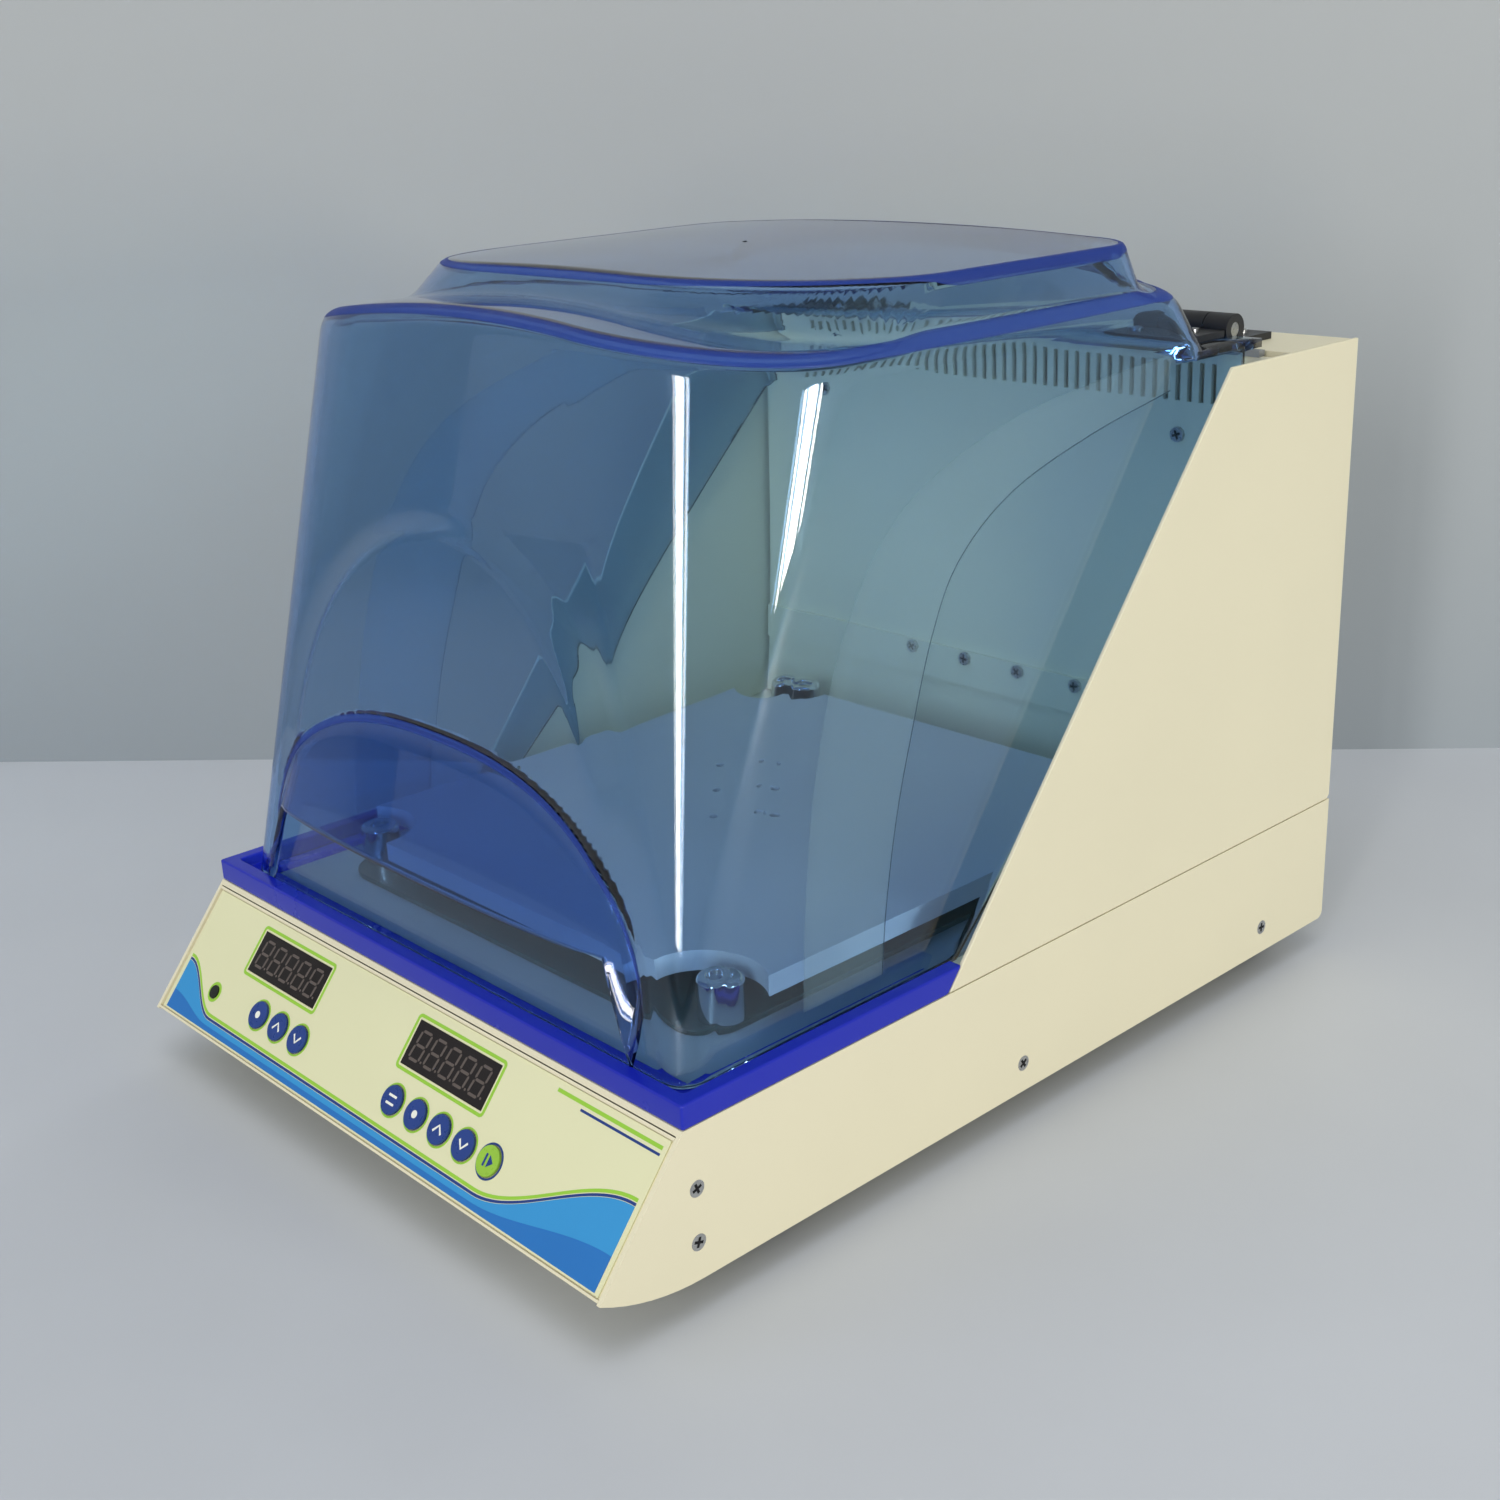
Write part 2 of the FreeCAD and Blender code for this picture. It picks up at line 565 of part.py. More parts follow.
def panel_openings(name, key_radius, w):
    """Tools that open a sheet of the panel for the displays, the keys and the lamp."""
    tools = []
    for index, u in enumerate(("temperature_u", "speed_u")):
        across, up = display_span(u, "fit_gap")
        tools.append(panel_block(f"{name}_window_{index}", across, up, w))
    for index, (key, u) in enumerate(key_places()):
        tools.append(panel_rod(f"{name}_key_{index}", key_radius, u, "key_v", w))
    tools.append(panel_rod(f"{name}_lamp", "lamp_radius + fit_gap", "lamp_u", "lamp_v", w))
    return tools


def make_front_panel():
    """The sloped front panel with its folded sides, lying a little behind the casing's edges."""
    half = "(housing_width / 2 - sheet_gauge - fit_gap)"
    slope = "sqrt((deck_height - nose_height)^2 + (panel_top_y - nose_y)^2)"
    back = "-panel_recess - sheet_gauge"
    face = panel_block("panel_face", (f"-{half}", half), ("0.6", f"{slope} - 2.3"), (back, "-panel_recess"))
    top = panel_block("panel_top_edge", (f"-{half}", half), (f"{slope} - 3.3", f"{slope} - 2.3"), (back, "0"))
    low = panel_block("panel_low_edge", (f"-{half}", half), ("0.6", "1.4"), (back, "0"))
    pieces = [face, top, low]
    for side, label in ((1, "right"), (-1, "left")):
        body = doc.addObject("PartDesign::Body", f"panel_flange_{label}")
        corners = [
            panel_point("4", back),
            panel_point(f"{slope} - 5", back),
            ("-134", panel_point(f"{slope} - 5", back)[1]),
            ("-134", "19.5"),
        ]
        offset = f"{half} - sheet_gauge" if side > 0 else f"-{half}"
        sketch = sketch_on(body, f"panel_flange_outline_{label}", "YZ_Plane", corners, offset=offset)
        pad(body, sketch, "sheet_gauge", symmetric=False)
        pieces.append(body)
    shell = join("panel_shell", pieces)
    tools = panel_openings("panel_opening", "key_stem_radius + key_gap", ("-6", "1"))
    tools += screw_holes("panel_hole_right", 1) + screw_holes("panel_hole_left", -1)
    node("front_panel", cut("front_panel", shell, tools))


def make_overlay():
    """The keypad overlay, a thin printed sheet let into the panel."""
    half = "(housing_width / 2 - sheet_gauge - 1.2)"
    slope = "sqrt((deck_height - nose_height)^2 + (panel_top_y - nose_y)^2)"
    w = ("-panel_recess", "-panel_recess + overlay_gauge")
    plate = panel_block("overlay_plate", (f"-{half}", half), ("1.8", f"{slope} - 3.6"), w)
    tools = panel_openings("overlay_opening", "key_radius + key_gap", ("-panel_recess - 1", "1"))
    node("keypad_overlay", cut("keypad_overlay", plate, tools))


def make_panel_electronics():
    """Control board, displays, heat lamp, key switches and the sprung keys."""
    board_front = "-board_depth"
    board = panel_block("control_board", ("-112", "84"), ("6", "46"),
                        (f"{board_front} - board_gauge", board_front))
    node("control_board", board)
    for name, u in (("temperature_display", "temperature_u"), ("speed_display", "speed_u")):
        across, up = display_span(u, "0")
        node(name, panel_block(name, across, up, (board_front, "-panel_recess + overlay_gauge + fit_gap")))
    lamp = panel_rod("heat_lamp", "lamp_radius", "lamp_u", "lamp_v", (board_front, "0"))
    node("heat_lamp", lamp)
    switches = []
    cap_back = "-panel_recess + key_travel + fit_gap"
    stem_end = "-9.8"
    for index, (name, u) in enumerate(key_places()):
        w = (board_front, f"{stem_end} - key_travel - fit_gap")
        across = (f"{u} - 3", f"{u} + 3")
        switches.append(panel_block(f"key_switch_{index}", across, ("key_v - 3", "key_v + 3"), w))
        cap = panel_rod(f"{name}_cap", "key_radius", u, "key_v", (cap_back, f"{cap_back} + 0.8"))
        stem = panel_rod(f"{name}_stem", "key_stem_radius", u, "key_v", (stem_end, cap_back))
        node(name, join(name, [cap, stem]))
    node("key_switches", group("key_switches", switches))


def wing_line(z):
    """Y of the hood side's slanted front edge at a height."""
    return f"wing_foot_y + (wing_top_y - wing_foot_y) * (({z}) - deck_height) / (hood_height - deck_height)"


def make_rim():
    """The blue moulded rim: a raised lip with a ledge inside it, open at the back between the hood sides."""
    body = doc.addObject("PartDesign::Body", "rim_body")
    top = "deck_height + rim_height"
    ledge = "deck_height + rim_ledge_height"
    side = [
        ("panel_top_y", "deck_height"),
        (wing_line("deck_height") + " - seam_gap", "deck_height"),
        (wing_line(top) + " - seam_gap", top),
        ("panel_top_y", top),
    ]
    pad(body, sketch_on(body, "rim_side", "YZ_Plane", side), "housing_width")
    groove = [
        ("-housing_width / 2 + rim_lip", "panel_top_y + rim_lip"),
        ("housing_width / 2 - rim_lip", "panel_top_y + rim_lip"),
        ("housing_width / 2 - rim_lip", "0"),
        ("-housing_width / 2 + rim_lip", "0"),
    ]
    sketch = sketch_on(body, "rim_groove", "XY_Plane", groove, offset=top)
    pocket(body, sketch, "rim_height - rim_ledge_height", symmetric=False)
    inside = [
        ("-housing_width / 2 + rim_width", "panel_top_y + rim_width"),
        ("housing_width / 2 - rim_width", "panel_top_y + rim_width"),
        ("housing_width / 2 - rim_width", "0"),
        ("-housing_width / 2 + rim_width", "0"),
    ]
    sketch = sketch_on(body, "rim_inside", "XY_Plane", inside, offset=ledge)
    pocket(body, sketch, "rim_ledge_height", symmetric=False)
    node("rim_frame", body)


def make_hood():
    """Two slanted side sheets and the bent cover between them, with vents in its back."""
    for side, name in ((1, "right_hood_side"), (-1, "left_hood_side")):
        body = doc.addObject("PartDesign::Body", name)
        corners = [
            (wing_line("deck_height + seam_gap"), "deck_height + seam_gap"),
            ("rear_y - sheet_gauge", "deck_height + seam_gap"),
            ("rear_y", "deck_height + seam_gap + sheet_gauge"),
            ("rear_y", "hood_height"),
            ("wing_top_y", "hood_height"),
        ]
        offset = "housing_width / 2 - sheet_gauge" if side > 0 else "-housing_width / 2"
        sketch = sketch_on(body, f"{name}_outline", "YZ_Plane", corners, offset=offset)
        pad(body, sketch, "sheet_gauge", symmetric=False)
        node(name, body)
    body = doc.addObject("PartDesign::Body", "hood_cover_body")
    top = "hood_height"
    under = "hood_height - sheet_gauge"
    front = "rear_y - sheet_gauge"
    corners = [
        ("hood_top_y", top),
        ("hood_top_y", f"{top} - 10"),
        ("hood_top_y + sheet_gauge", f"{top} - 10"),
        ("hood_top_y + sheet_gauge", under),
        ("rear_y - hood_bend", under),
        (front, "hood_height - hood_bend"),
        (front, "deck_height + seam_gap"),
        ("rear_y", "deck_height + seam_gap"),
        ("rear_y", "hood_height - hood_bend"),
        ("rear_y - hood_bend", top),
    ]
    arcs = {4: ("hood_bend - sheet_gauge", 1), 8: ("hood_bend", -1)}
    width = "housing_width - 2 * sheet_gauge - 2 * fit_gap"
    pad(body, sketch_on(body, "hood_cover_side", "YZ_Plane", corners, arcs=arcs), width)
    left = "-vent_pitch * (vent_count - 1) / 2 - vent_width / 2"
    slot = [
        (left, "vent_base"),
        (f"{left} + vent_width", "vent_base"),
        (f"{left} + vent_width", "vent_base + vent_height"),
        (left, "vent_base + vent_height"),
    ]
    sketch = sketch_on(body, "hood_vent", "XZ_Plane", slot, offset="-rear_y")
    feature = pocket(body, sketch, "8 * sheet_gauge")
    row_of(body, feature, "vent_count", "vent_pitch")
    node("hood_cover", body)


def make_back_wall():
    """The chamber's back wall with its row of air slots, the strip across it, its seal and its screws."""
    body = doc.addObject("PartDesign::Body", "back_wall_body")
    bottom = "deck_height + floor_gauge"
    sheet_outline = [
        ("-liner_half_width", bottom),
        ("liner_half_width", bottom),
        ("liner_half_width", "liner_top"),
        ("-liner_half_width", "liner_top"),
    ]
    sketch = sketch_on(body, "back_wall_sheet", "XZ_Plane", sheet_outline, offset="-liner_y - sheet_gauge")
    pad(body, sketch, "sheet_gauge", symmetric=False)
    left = "-slot_pitch * (slot_count - 1) / 2 - slot_width / 2"
    slot = [
        (left, "slot_base"),
        (f"{left} + slot_width", "slot_base"),
        (f"{left} + slot_width", "slot_base + slot_height"),
        (left, "slot_base + slot_height"),
    ]
    sketch = sketch_on(body, "back_wall_slot", "XZ_Plane", slot, offset="-liner_y - sheet_gauge")
    feature = pocket(body, sketch, "6 * sheet_gauge")
    row_of(body, feature, "slot_count", "slot_pitch")
    places = wall_screw_places()
    holes = [rod(f"wall_hole_{i}", "screw_radius + seat_fit", "20", x, "liner_y - 10", z, "Y")
             for i, (x, z, front) in enumerate(places)]
    node("back_wall", cut("back_wall", body, holes))
    strip = block("strip_sheet", ("-liner_half_width", "liner_half_width"),
                  ("liner_y - sheet_gauge", "liner_y"), ("strip_base", "strip_base + strip_height"))
    holes = [rod(f"strip_hole_{i}", "screw_radius + seat_fit", "20", x, "liner_y - 10", z, "Y")
             for i, (x, z, front) in enumerate(places) if front != "0"]
    node("wall_strip", cut("wall_strip", strip, holes))
    screws = []
    for index, (x, z, front) in enumerate(places):
        face = f"liner_y - {front}"
        head = rod(f"wall_screw_head_{index}", "screw_head_radius", "1.6", x, f"{face} - 1.6", z, "Y")
        shank = rod(f"wall_screw_shank_{index}", "screw_radius", "6", x, face, z, "Y")
        screws.append(join(f"wall_screw_{index}", [head, shank]))
    node("wall_screws", group("wall_screws", screws))
    seal = block("wall_seal", ("-liner_half_width + 6", "liner_half_width - 6"),
                 ("liner_y - 1", "liner_y + 2.5"), ("liner_top", "flange_base - seam_gap"))
    node("wall_seal", seal)


def wall_screw_places():
    """Screws of the back wall: two near the top, the others through the strip."""
    places = [(f"{side} * 86", "206", "0") for side in (1, -1)]
    places += [(f"{x}", "strip_base + strip_height - 2.9", "sheet_gauge") for x in (-43, -14, 14, 43)]
    return places


def rounded_slab(name, half_width, front, rear, corner, base, height):
    """A slab with four rounded corners, padded upwards."""
    body = doc.addObject("PartDesign::Body", name)
    corners = [
        (f"-{half_width} + {corner}", front),
        (f"{half_width} - {corner}", front),
        (half_width, f"{front} + {corner}"),
        (half_width, f"{rear} - {corner}"),
        (f"{half_width} - {corner}", rear),
        (f"-{half_width} + {corner}", rear),
        (f"-{half_width}", f"{rear} - {corner}"),
        (f"-{half_width}", f"{front} + {corner}"),
    ]
    arcs = {index: (corner, -1) for index in (1, 3, 5, 7)}
    sketch = sketch_on(body, f"{name}_outline", "XY_Plane", corners, offset=base, arcs=arcs)
    pad(body, sketch, height, symmetric=False)
    return body


def drive_holes(name, base, height):
    """Tools that open a plate for the spindle and the idler shafts."""
    tools = [rod(f"{name}_spindle", "spindle_radius + 2", height, "0", "spindle_y", base)]
    for side in (1, -1):
        x = f"{side} * idler_x"
        tools.append(rod(f"{name}_idler_{side + 1}", "idler_shaft_radius + 2", height, x, "spindle_y", base))
    return tools


def make_chamber_floor():
    """The chamber floor, the raised drive cover on it and the chromed corner posts."""
    half = "(housing_width / 2 - rim_width - fit_gap)"
    floor = block("floor_sheet", (f"-{half}", half), ("panel_top_y + rim_width + fit_gap", "rear_y - 20"),
                  ("deck_height", "deck_height + floor_gauge"))
    node("chamber_floor", cut("chamber_floor", floor, drive_holes("floor_hole", "deck_height - 5", "20")))
    base = "deck_height + floor_gauge"
    slab = rounded_slab("drive_cover_slab", "tray_half_width", "tray_front_y", "tray_rear_y", "tray_corner",
                        base, "tray_gauge")
    node("drive_cover", cut("drive_cover", slab, drive_holes("cover_hole", "deck_height - 5", "20")))
    posts = []
    for index, (x, y) in enumerate(post_places()):
        barrel = rod(f"post_barrel_{index}", "post_radius", "post_height - 2", x, y, TRAY_TOP)
        top = taper(f"post_top_{index}", "post_radius", "post_radius - 1", "1", x, y,
                    f"{TRAY_TOP} + post_height - 2")
        socket = rod(f"post_socket_{index}", "post_radius / 2", "2", x, y, f"{TRAY_TOP} + post_height - 3")
        posts.append(cut(f"post_{index}", join(f"post_solid_{index}", [barrel, top]), [socket]))
    node("corner_posts", group("corner_posts", posts))


def post_places():
    """The corner posts, as formulas of X and Y."""
    return [(f"{sx} * post_x", f"spindle_y + {sy} * post_y") for sx in (1, -1) for sy in (-1, 1)]


def make_platform():
    """The shaking platform: a sheet with turned down edges, notched round the corner posts."""
    top = "platform_top"
    base = "platform_top - platform_edge"
    outer = block("platform_outer", ("-platform_half_width", "platform_half_width"),
                  (f"{PIN_Y} - platform_half_depth", f"{PIN_Y} + platform_half_depth"), (base, top))
    gauge = "platform_gauge"
    inner = block("platform_inner", (f"-platform_half_width + {gauge}", f"platform_half_width - {gauge}"),
                  (f"{PIN_Y} - platform_half_depth + {gauge}", f"{PIN_Y} + platform_half_depth - {gauge}"),
                  (f"{base} - 1", f"{top} - {gauge}"))
    reach = "post_radius + orbit_radius + post_clearance"
    notches = []
    rims = []
    for index, (sx, sy) in enumerate([(sx, sy) for sx in (1, -1) for sy in (-1, 1)]):
        x = f"{sx} * post_x"
        y = f"{PIN_Y} + {sy} * post_y"
        notches.append(rod(f"platform_notch_{index}", reach, "platform_edge + 4", x, y, f"{base} - 2"))
        rims.append(rod(f"platform_notch_rim_{index}", f"{reach} + {gauge}", "platform_edge + 4",
                        x, y, f"{base} - 2"))
    hollow = cut("platform_hollow", inner, rims)
    holes = clamp_holes()
    node("platform", cut("platform", outer, notches + [hollow] + holes))


def clamp_holes():
    """Six clamp screw holes in two rows that run at 45 degrees, a little off the middle."""
    holes = []
    diagonal = "0.70710678"
    for row, side in enumerate((1, -1)):
        for step in (-1, 0, 1):
            along = f"({step} * clamp_row_length / 2)"
            across = f"({side} * clamp_row_spacing / 2)"
            x = f"clamp_shift_x + ({along} + {across}) * {diagonal}"
            y = f"{PIN_Y} + clamp_shift_y + ({across} - {along}) * {diagonal}"
            name = f"clamp_hole_{row}_{step + 1}"
            holes.append(rod(name, "clamp_hole_radius", "10", x, y, "platform_top - 6"))
    return holes


def make_platform_hubs():
    """The hubs under the platform that take the crank pin and the idler pins."""
    hub_top = "platform_top - platform_gauge"
    base = f"{CRANK_TOP} + crank_gap"
    places = [("0", "hub_radius", "pin_radius")]
    places += [(f"{side} * idler_x", "idler_hub_radius", "idler_shaft_radius") for side in (1, -1)]
    hubs = []
    for index, (x, outer, pin) in enumerate(places):
        barrel = rod(f"hub_barrel_{index}", outer, f"{hub_top} - ({base})", x, PIN_Y, base)
        bore = rod(f"hub_bore_{index}", f"{pin} + running_fit", f"{hub_top} - ({base})", x, PIN_Y,
                   f"{base} - 0.5")
        hubs.append(cut(f"hub_{index}", barrel, [bore]))
    node("platform_hubs", group("platform_hubs", hubs))


def crank(name, x, shaft_radius, shaft_base, disc_radius, pin):
    """A shaft with a disc on top and a pin set off from its axis by the orbit radius."""
    disc_base = f"{TRAY_TOP} + crank_gap"
    hub_top = "platform_top - platform_gauge"
    pieces = [
        rod(f"{name}_shaft", shaft_radius, f"{disc_base} - ({shaft_base})", x, "spindle_y", shaft_base),
        rod(f"{name}_disc", disc_radius, "crank_height", x, "spindle_y", disc_base),
        rod(f"{name}_pin", pin, f"{hub_top} - ({CRANK_TOP}) - 1", x, PIN_Y, CRANK_TOP),
    ]
    return join(name, pieces)


def make_drive():
    """Spindle, bearings, pulleys, belt, counterweight, motor and idler cranks."""
    under = "deck_height - sheet_gauge"
    plate = block("bearing_sheet", ("-opening_half_width - 15", "opening_half_width + 15"),
                  ("opening_front_y - 12", "opening_rear_y + 14"), (PLATE_BASE, under))
    holes = [rod("plate_spindle_hole", "housing_radius + plate_fit", "10", "0", "spindle_y",
                 "deck_height - 10")]
    for side in (1, -1):
        x = f"{side} * idler_x"
        holes.append(rod(f"plate_idler_hole_{side + 1}", "idler_hub_radius + plate_fit", "10", x, "spindle_y",
                         "deck_height - 10"))
    node("bearing_plate", cut("bearing_plate", plate, holes))

    barrel_base = "bearing_lower_z - 2"
    barrel = rod("housing_barrel", "housing_radius", f"deck_height - ({barrel_base})", "0", "spindle_y",
                 barrel_base)
    flange = rod("housing_flange", "housing_flange_radius", "3", "0", "spindle_y", f"{PLATE_BASE} - 3")
    bore = rod("housing_bore", "bearing_radius + seat_fit", "60", "0", "spindle_y", "bearing_lower_z")
    lower = rod("housing_throat", "spindle_radius + 2", "60", "0", "spindle_y", f"{barrel_base} - 1")
    node("spindle_housing", cut("spindle_housing", join("housing_solid", [barrel, flange]), [bore, lower]))

    rings = []
    for index, z in enumerate(("bearing_lower_z", "deck_height - bearing_width - 1")):
        ring = rod(f"bearing_ring_{index}", "bearing_radius", "bearing_width", "0", "spindle_y", z)
        hole = rod(f"bearing_hole_{index}", "spindle_radius + running_fit", "bearing_width + 2",
                   "0", "spindle_y", f"{z} - 1")
        rings.append(cut(f"bearing_{index}", ring, [hole]))
    node("spindle_bearings", group("spindle_bearings", rings))

    bushes = []
    for side in (1, -1):
        x = f"{side} * idler_x"
        bush = rod(f"bush_barrel_{side + 1}", "idler_hub_radius", "14", x, "spindle_y", "deck_height - 14")
        collar = rod(f"bush_collar_{side + 1}", "idler_hub_radius + 3", "2", x, "spindle_y",
                     f"{PLATE_BASE} - 2")
        hole = rod(f"bush_hole_{side + 1}", "idler_shaft_radius + running_fit", "30", x, "spindle_y",
                   "deck_height - 20")
        bushes.append(cut(f"bush_{side + 1}", join(f"bush_solid_{side + 1}", [bush, collar]), [hole]))
    node("idler_bushes", group("idler_bushes", bushes))

    weight_base = "pulley_base - weight_height - 0.5"
    node("drive_crank", crank("drive_crank", "0", "spindle_radius", f"{weight_base} - 0.5", "crank_radius",
                              "pin_radius"))
    for side, name in ((1, "right_idler_crank"), (-1, "left_idler_crank")):
        node(name, crank(name, f"{side} * idler_x", "idler_shaft_radius", "deck_height - 16",
                         "idler_disc_radius", "idler_shaft_radius"))

    node("drive_pulley", pulley("drive_pulley", "0", "spindle_y", "pulley_radius", "spindle_radius"))
    wheel = pulley("motor_wheel", "motor_x", "motor_y", "motor_pulley_radius", "motor_shaft_radius - 1")
    shaft = rod("motor_shaft", "motor_shaft_radius", f"{PLATE_BASE} - motor_length - pulley_base + 3",
                "motor_x", "motor_y", "pulley_base - 1")
    node("motor_pulley", join("motor_pulley", [wheel, shaft]))

    can = rod("motor_barrel", "motor_radius", "motor_length", "motor_x", "motor_y",
              f"{PLATE_BASE} - motor_length")
    socket = rod("motor_socket", "motor_shaft_radius + running_fit", "9", "motor_x", "motor_y",
                 f"{PLATE_BASE} - motor_length - 2")
    boss = rod("motor_boss", "motor_shaft_radius + 4", "1.5", "motor_x", "motor_y",
               f"{PLATE_BASE} - motor_length - 1.5")
    node("drive_motor", cut("drive_motor", join("motor_solid", [can, boss]), [socket]))

    disc = rod("weight_disc", "weight_radius", "weight_height", "0", "spindle_y", weight_base)
    half = block("weight_cut", ("-weight_radius - 1", "weight_radius + 1"),
                 ("spindle_y - weight_radius - 1", "spindle_y - spindle_radius - 3"),
                 (f"{weight_base} - 1", f"{weight_base} + weight_height + 1"))
    hole = rod("weight_hole", "spindle_radius + seat_fit", "weight_height + 2", "0", "spindle_y",
               f"{weight_base} - 1")
    node("counterweight", cut("counterweight", disc, [half, hole]))


def pulley(name, x, y, radius, bore):
    """A flanged belt pulley with its bore."""
    rim = rod(f"{name}_rim", radius, "pulley_height", x, y, "pulley_base")
    flanges = [rod(f"{name}_flange_{i}", f"{radius} + pulley_flange", "1", x, y, z)
               for i, z in enumerate(("pulley_base", "pulley_base + pulley_height - 1"))]
    hole = rod(f"{name}_bore", f"{bore} + seat_fit", "pulley_height + 2", x, y, "pulley_base - 1")
    return cut(name, join(f"{name}_solid", [rim] + flanges), [hole])


def belt_loop(radius_a, radius_b, centre_a, centre_b):
    """The closed wire of a belt round two pulleys: two outer tangents and two arcs."""
    between = centre_b - centre_a
    along = Vector(between).normalize()
    across = Vector(-along.y, along.x, 0)
    lean = (radius_a - radius_b) / between.Length
    rise = math.sqrt(1 - lean * lean)
    touch = [along * lean + across * rise, along * lean - across * rise]
    a_left, a_right = (centre_a + direction * radius_a for direction in touch)
    b_left, b_right = (centre_b + direction * radius_b for direction in touch)
    edges = [
        Part.LineSegment(a_left, b_left).toShape(),
        Part.Arc(b_left, centre_b + along * radius_b, b_right).toShape(),
        Part.LineSegment(b_right, a_right).toShape(),
        Part.Arc(a_right, centre_a - along * radius_a, a_left).toShape(),
    ]
    return Part.Wire(edges)


def make_belt():
    """The drive belt, which runs between the pulley flanges."""
    size = value
    z = size("pulley_base + 1 + belt_gap")
    centre_a = Vector(0, size("spindle_y"), z)
    centre_b = Vector(size("motor_x"), size("motor_y"), z)
    gap = size("belt_gap")
    inner = belt_loop(size("pulley_radius") + gap, size("motor_pulley_radius") + gap, centre_a, centre_b)
    grow = gap + size("belt_gauge")
    outer = belt_loop(size("pulley_radius") + grow, size("motor_pulley_radius") + grow, centre_a, centre_b)
    height = Vector(0, 0, size("pulley_height - 2 - 2 * belt_gap"))
    item = doc.addObject("Part::Feature", "drive_belt")
    item.Shape = Part.Face(outer).extrude(height).cut(Part.Face(inner).extrude(height))
    item.Placement = Placement()
    node("drive_belt", item)


def shell_wire(half_width, front, rear, front_corner, rear_corner, z):
    """A level outline with two rounded front corners and two rounded rear corners."""
    def bow(centre, radius, start):
        points = [centre + Vector(math.cos(math.radians(a)), math.sin(math.radians(a)), 0) * radius
                  for a in (start, start + 45, start + 90)]
        return points
    corners = [
        bow(Vector(half_width - front_corner, front + front_corner, z), front_corner, -90),
        bow(Vector(half_width - rear_corner, rear - rear_corner, z), rear_corner, 0),
        bow(Vector(-half_width + rear_corner, rear - rear_corner, z), rear_corner, 90),
        bow(Vector(-half_width + front_corner, front + front_corner, z), front_corner, 180),
    ]
    edges = []
    for index, (first, middle, last) in enumerate(corners):
        edges.append(Part.Arc(first, middle, last).toShape())
        edges.append(Part.LineSegment(last, corners[(index + 1) % 4][0]).toShape())
    return Part.Wire(edges)


def crowned(top, radius, half_width):
    """A long solid under a crowned roof, to trim the lid and the dome."""
    reach = half_width + 60
    drop = radius - math.sqrt(radius * radius - reach * reach)
    start = Vector(-reach, -300, top - drop)
    end = Vector(reach, -300, top - drop)
    roof = Part.Arc(start, Vector(0, -300, top), end).toShape()
    low = -50
    edges = [
        roof,
        Part.LineSegment(end, Vector(reach, -300, low)).toShape(),
        Part.LineSegment(Vector(reach, -300, low), Vector(-reach, -300, low)).toShape(),
        Part.LineSegment(Vector(-reach, -300, low), start).toShape(),
    ]
    return Part.Face(Part.Wire(edges)).extrude(Vector(0, 800, 0))


def side_prism(points, half_width):
    """A prism across the lid from its outline seen from the side."""
    corners = [Vector(-half_width, y, z) for y, z in points]
    return Part.Face(Part.makePolygon(corners + corners[:1])).extrude(Vector(2 * half_width, 0, 0))


def lid_block(inset):
    """The lid's main form as a solid, each face moved in by the inset."""
    bottom = value("lid_bottom")
    shoulder = value("lid_shoulder_height")
    roof = value("crown_height") + 12
    stretch = (roof - bottom) / (shoulder - bottom)

    def grown(foot, top):
        return foot + (top - foot) * stretch
    low = bottom - (5 if inset else 0)
    back = (low - bottom) / (shoulder - bottom)
    foot_width, top_width = value("lid_foot_half_width"), value("lid_shoulder_half_width")
    foot_front, top_front = value("lid_foot_front_y"), value("lid_shoulder_front_y")
    foot_corner, top_corner = value("lid_foot_corner"), value("lid_shoulder_corner")
    rear = 300
    rear_corner = 40
    lower = shell_wire(foot_width + (top_width - foot_width) * back - inset,
                       foot_front + (top_front - foot_front) * back + inset, rear,
                       max(foot_corner + (top_corner - foot_corner) * back - inset, 2), rear_corner, low)
    upper = shell_wire(grown(foot_width, top_width) - inset, grown(foot_front, top_front) + inset, rear,
                       grown(foot_corner, top_corner) - inset, rear_corner, roof)
    form = Part.makeLoft([lower, upper], True, True)
    form = form.common(crowned(value("crown_height") - inset, value("crown_radius"), foot_width))
    return form


def round_roof(form, radius):
    """Round the long edges where the crowned roof meets the walls."""
    edges = []
    for edge in form.Edges:
        middle = edge.valueAt((edge.FirstParameter + edge.LastParameter) / 2)
        expected = value("crown_height") - middle.x ** 2 / (2 * value("crown_radius"))
        if abs(middle.z - expected) < 4.5:
            edges.append(edge)
    return form.makeFillet(radius, edges)


def dome_block(inset):
    """The raised dome on the lid, each face moved in by the inset."""
    foot_z = value("lid_shoulder_height") - 6
    top_z = value("dome_height") + 4
    rear_corner = value("dome_rear_corner") - inset
    lower = shell_wire(value("dome_foot_half_width") - inset, value("dome_foot_front_y") + inset,
                       value("dome_foot_rear_y") - inset, value("dome_foot_corner") - inset,
                       rear_corner, foot_z)
    upper = shell_wire(value("dome_top_half_width") - inset, value("dome_top_front_y") + inset,
                       value("dome_top_rear_y") - inset, value("dome_top_corner") - inset, rear_corner, top_z)
    form = Part.makeLoft([lower, upper], True, True)
    reach = value("housing_width / 2")
    return form.common(crowned(value("dome_height") - inset, value("dome_crown_radius"), reach))


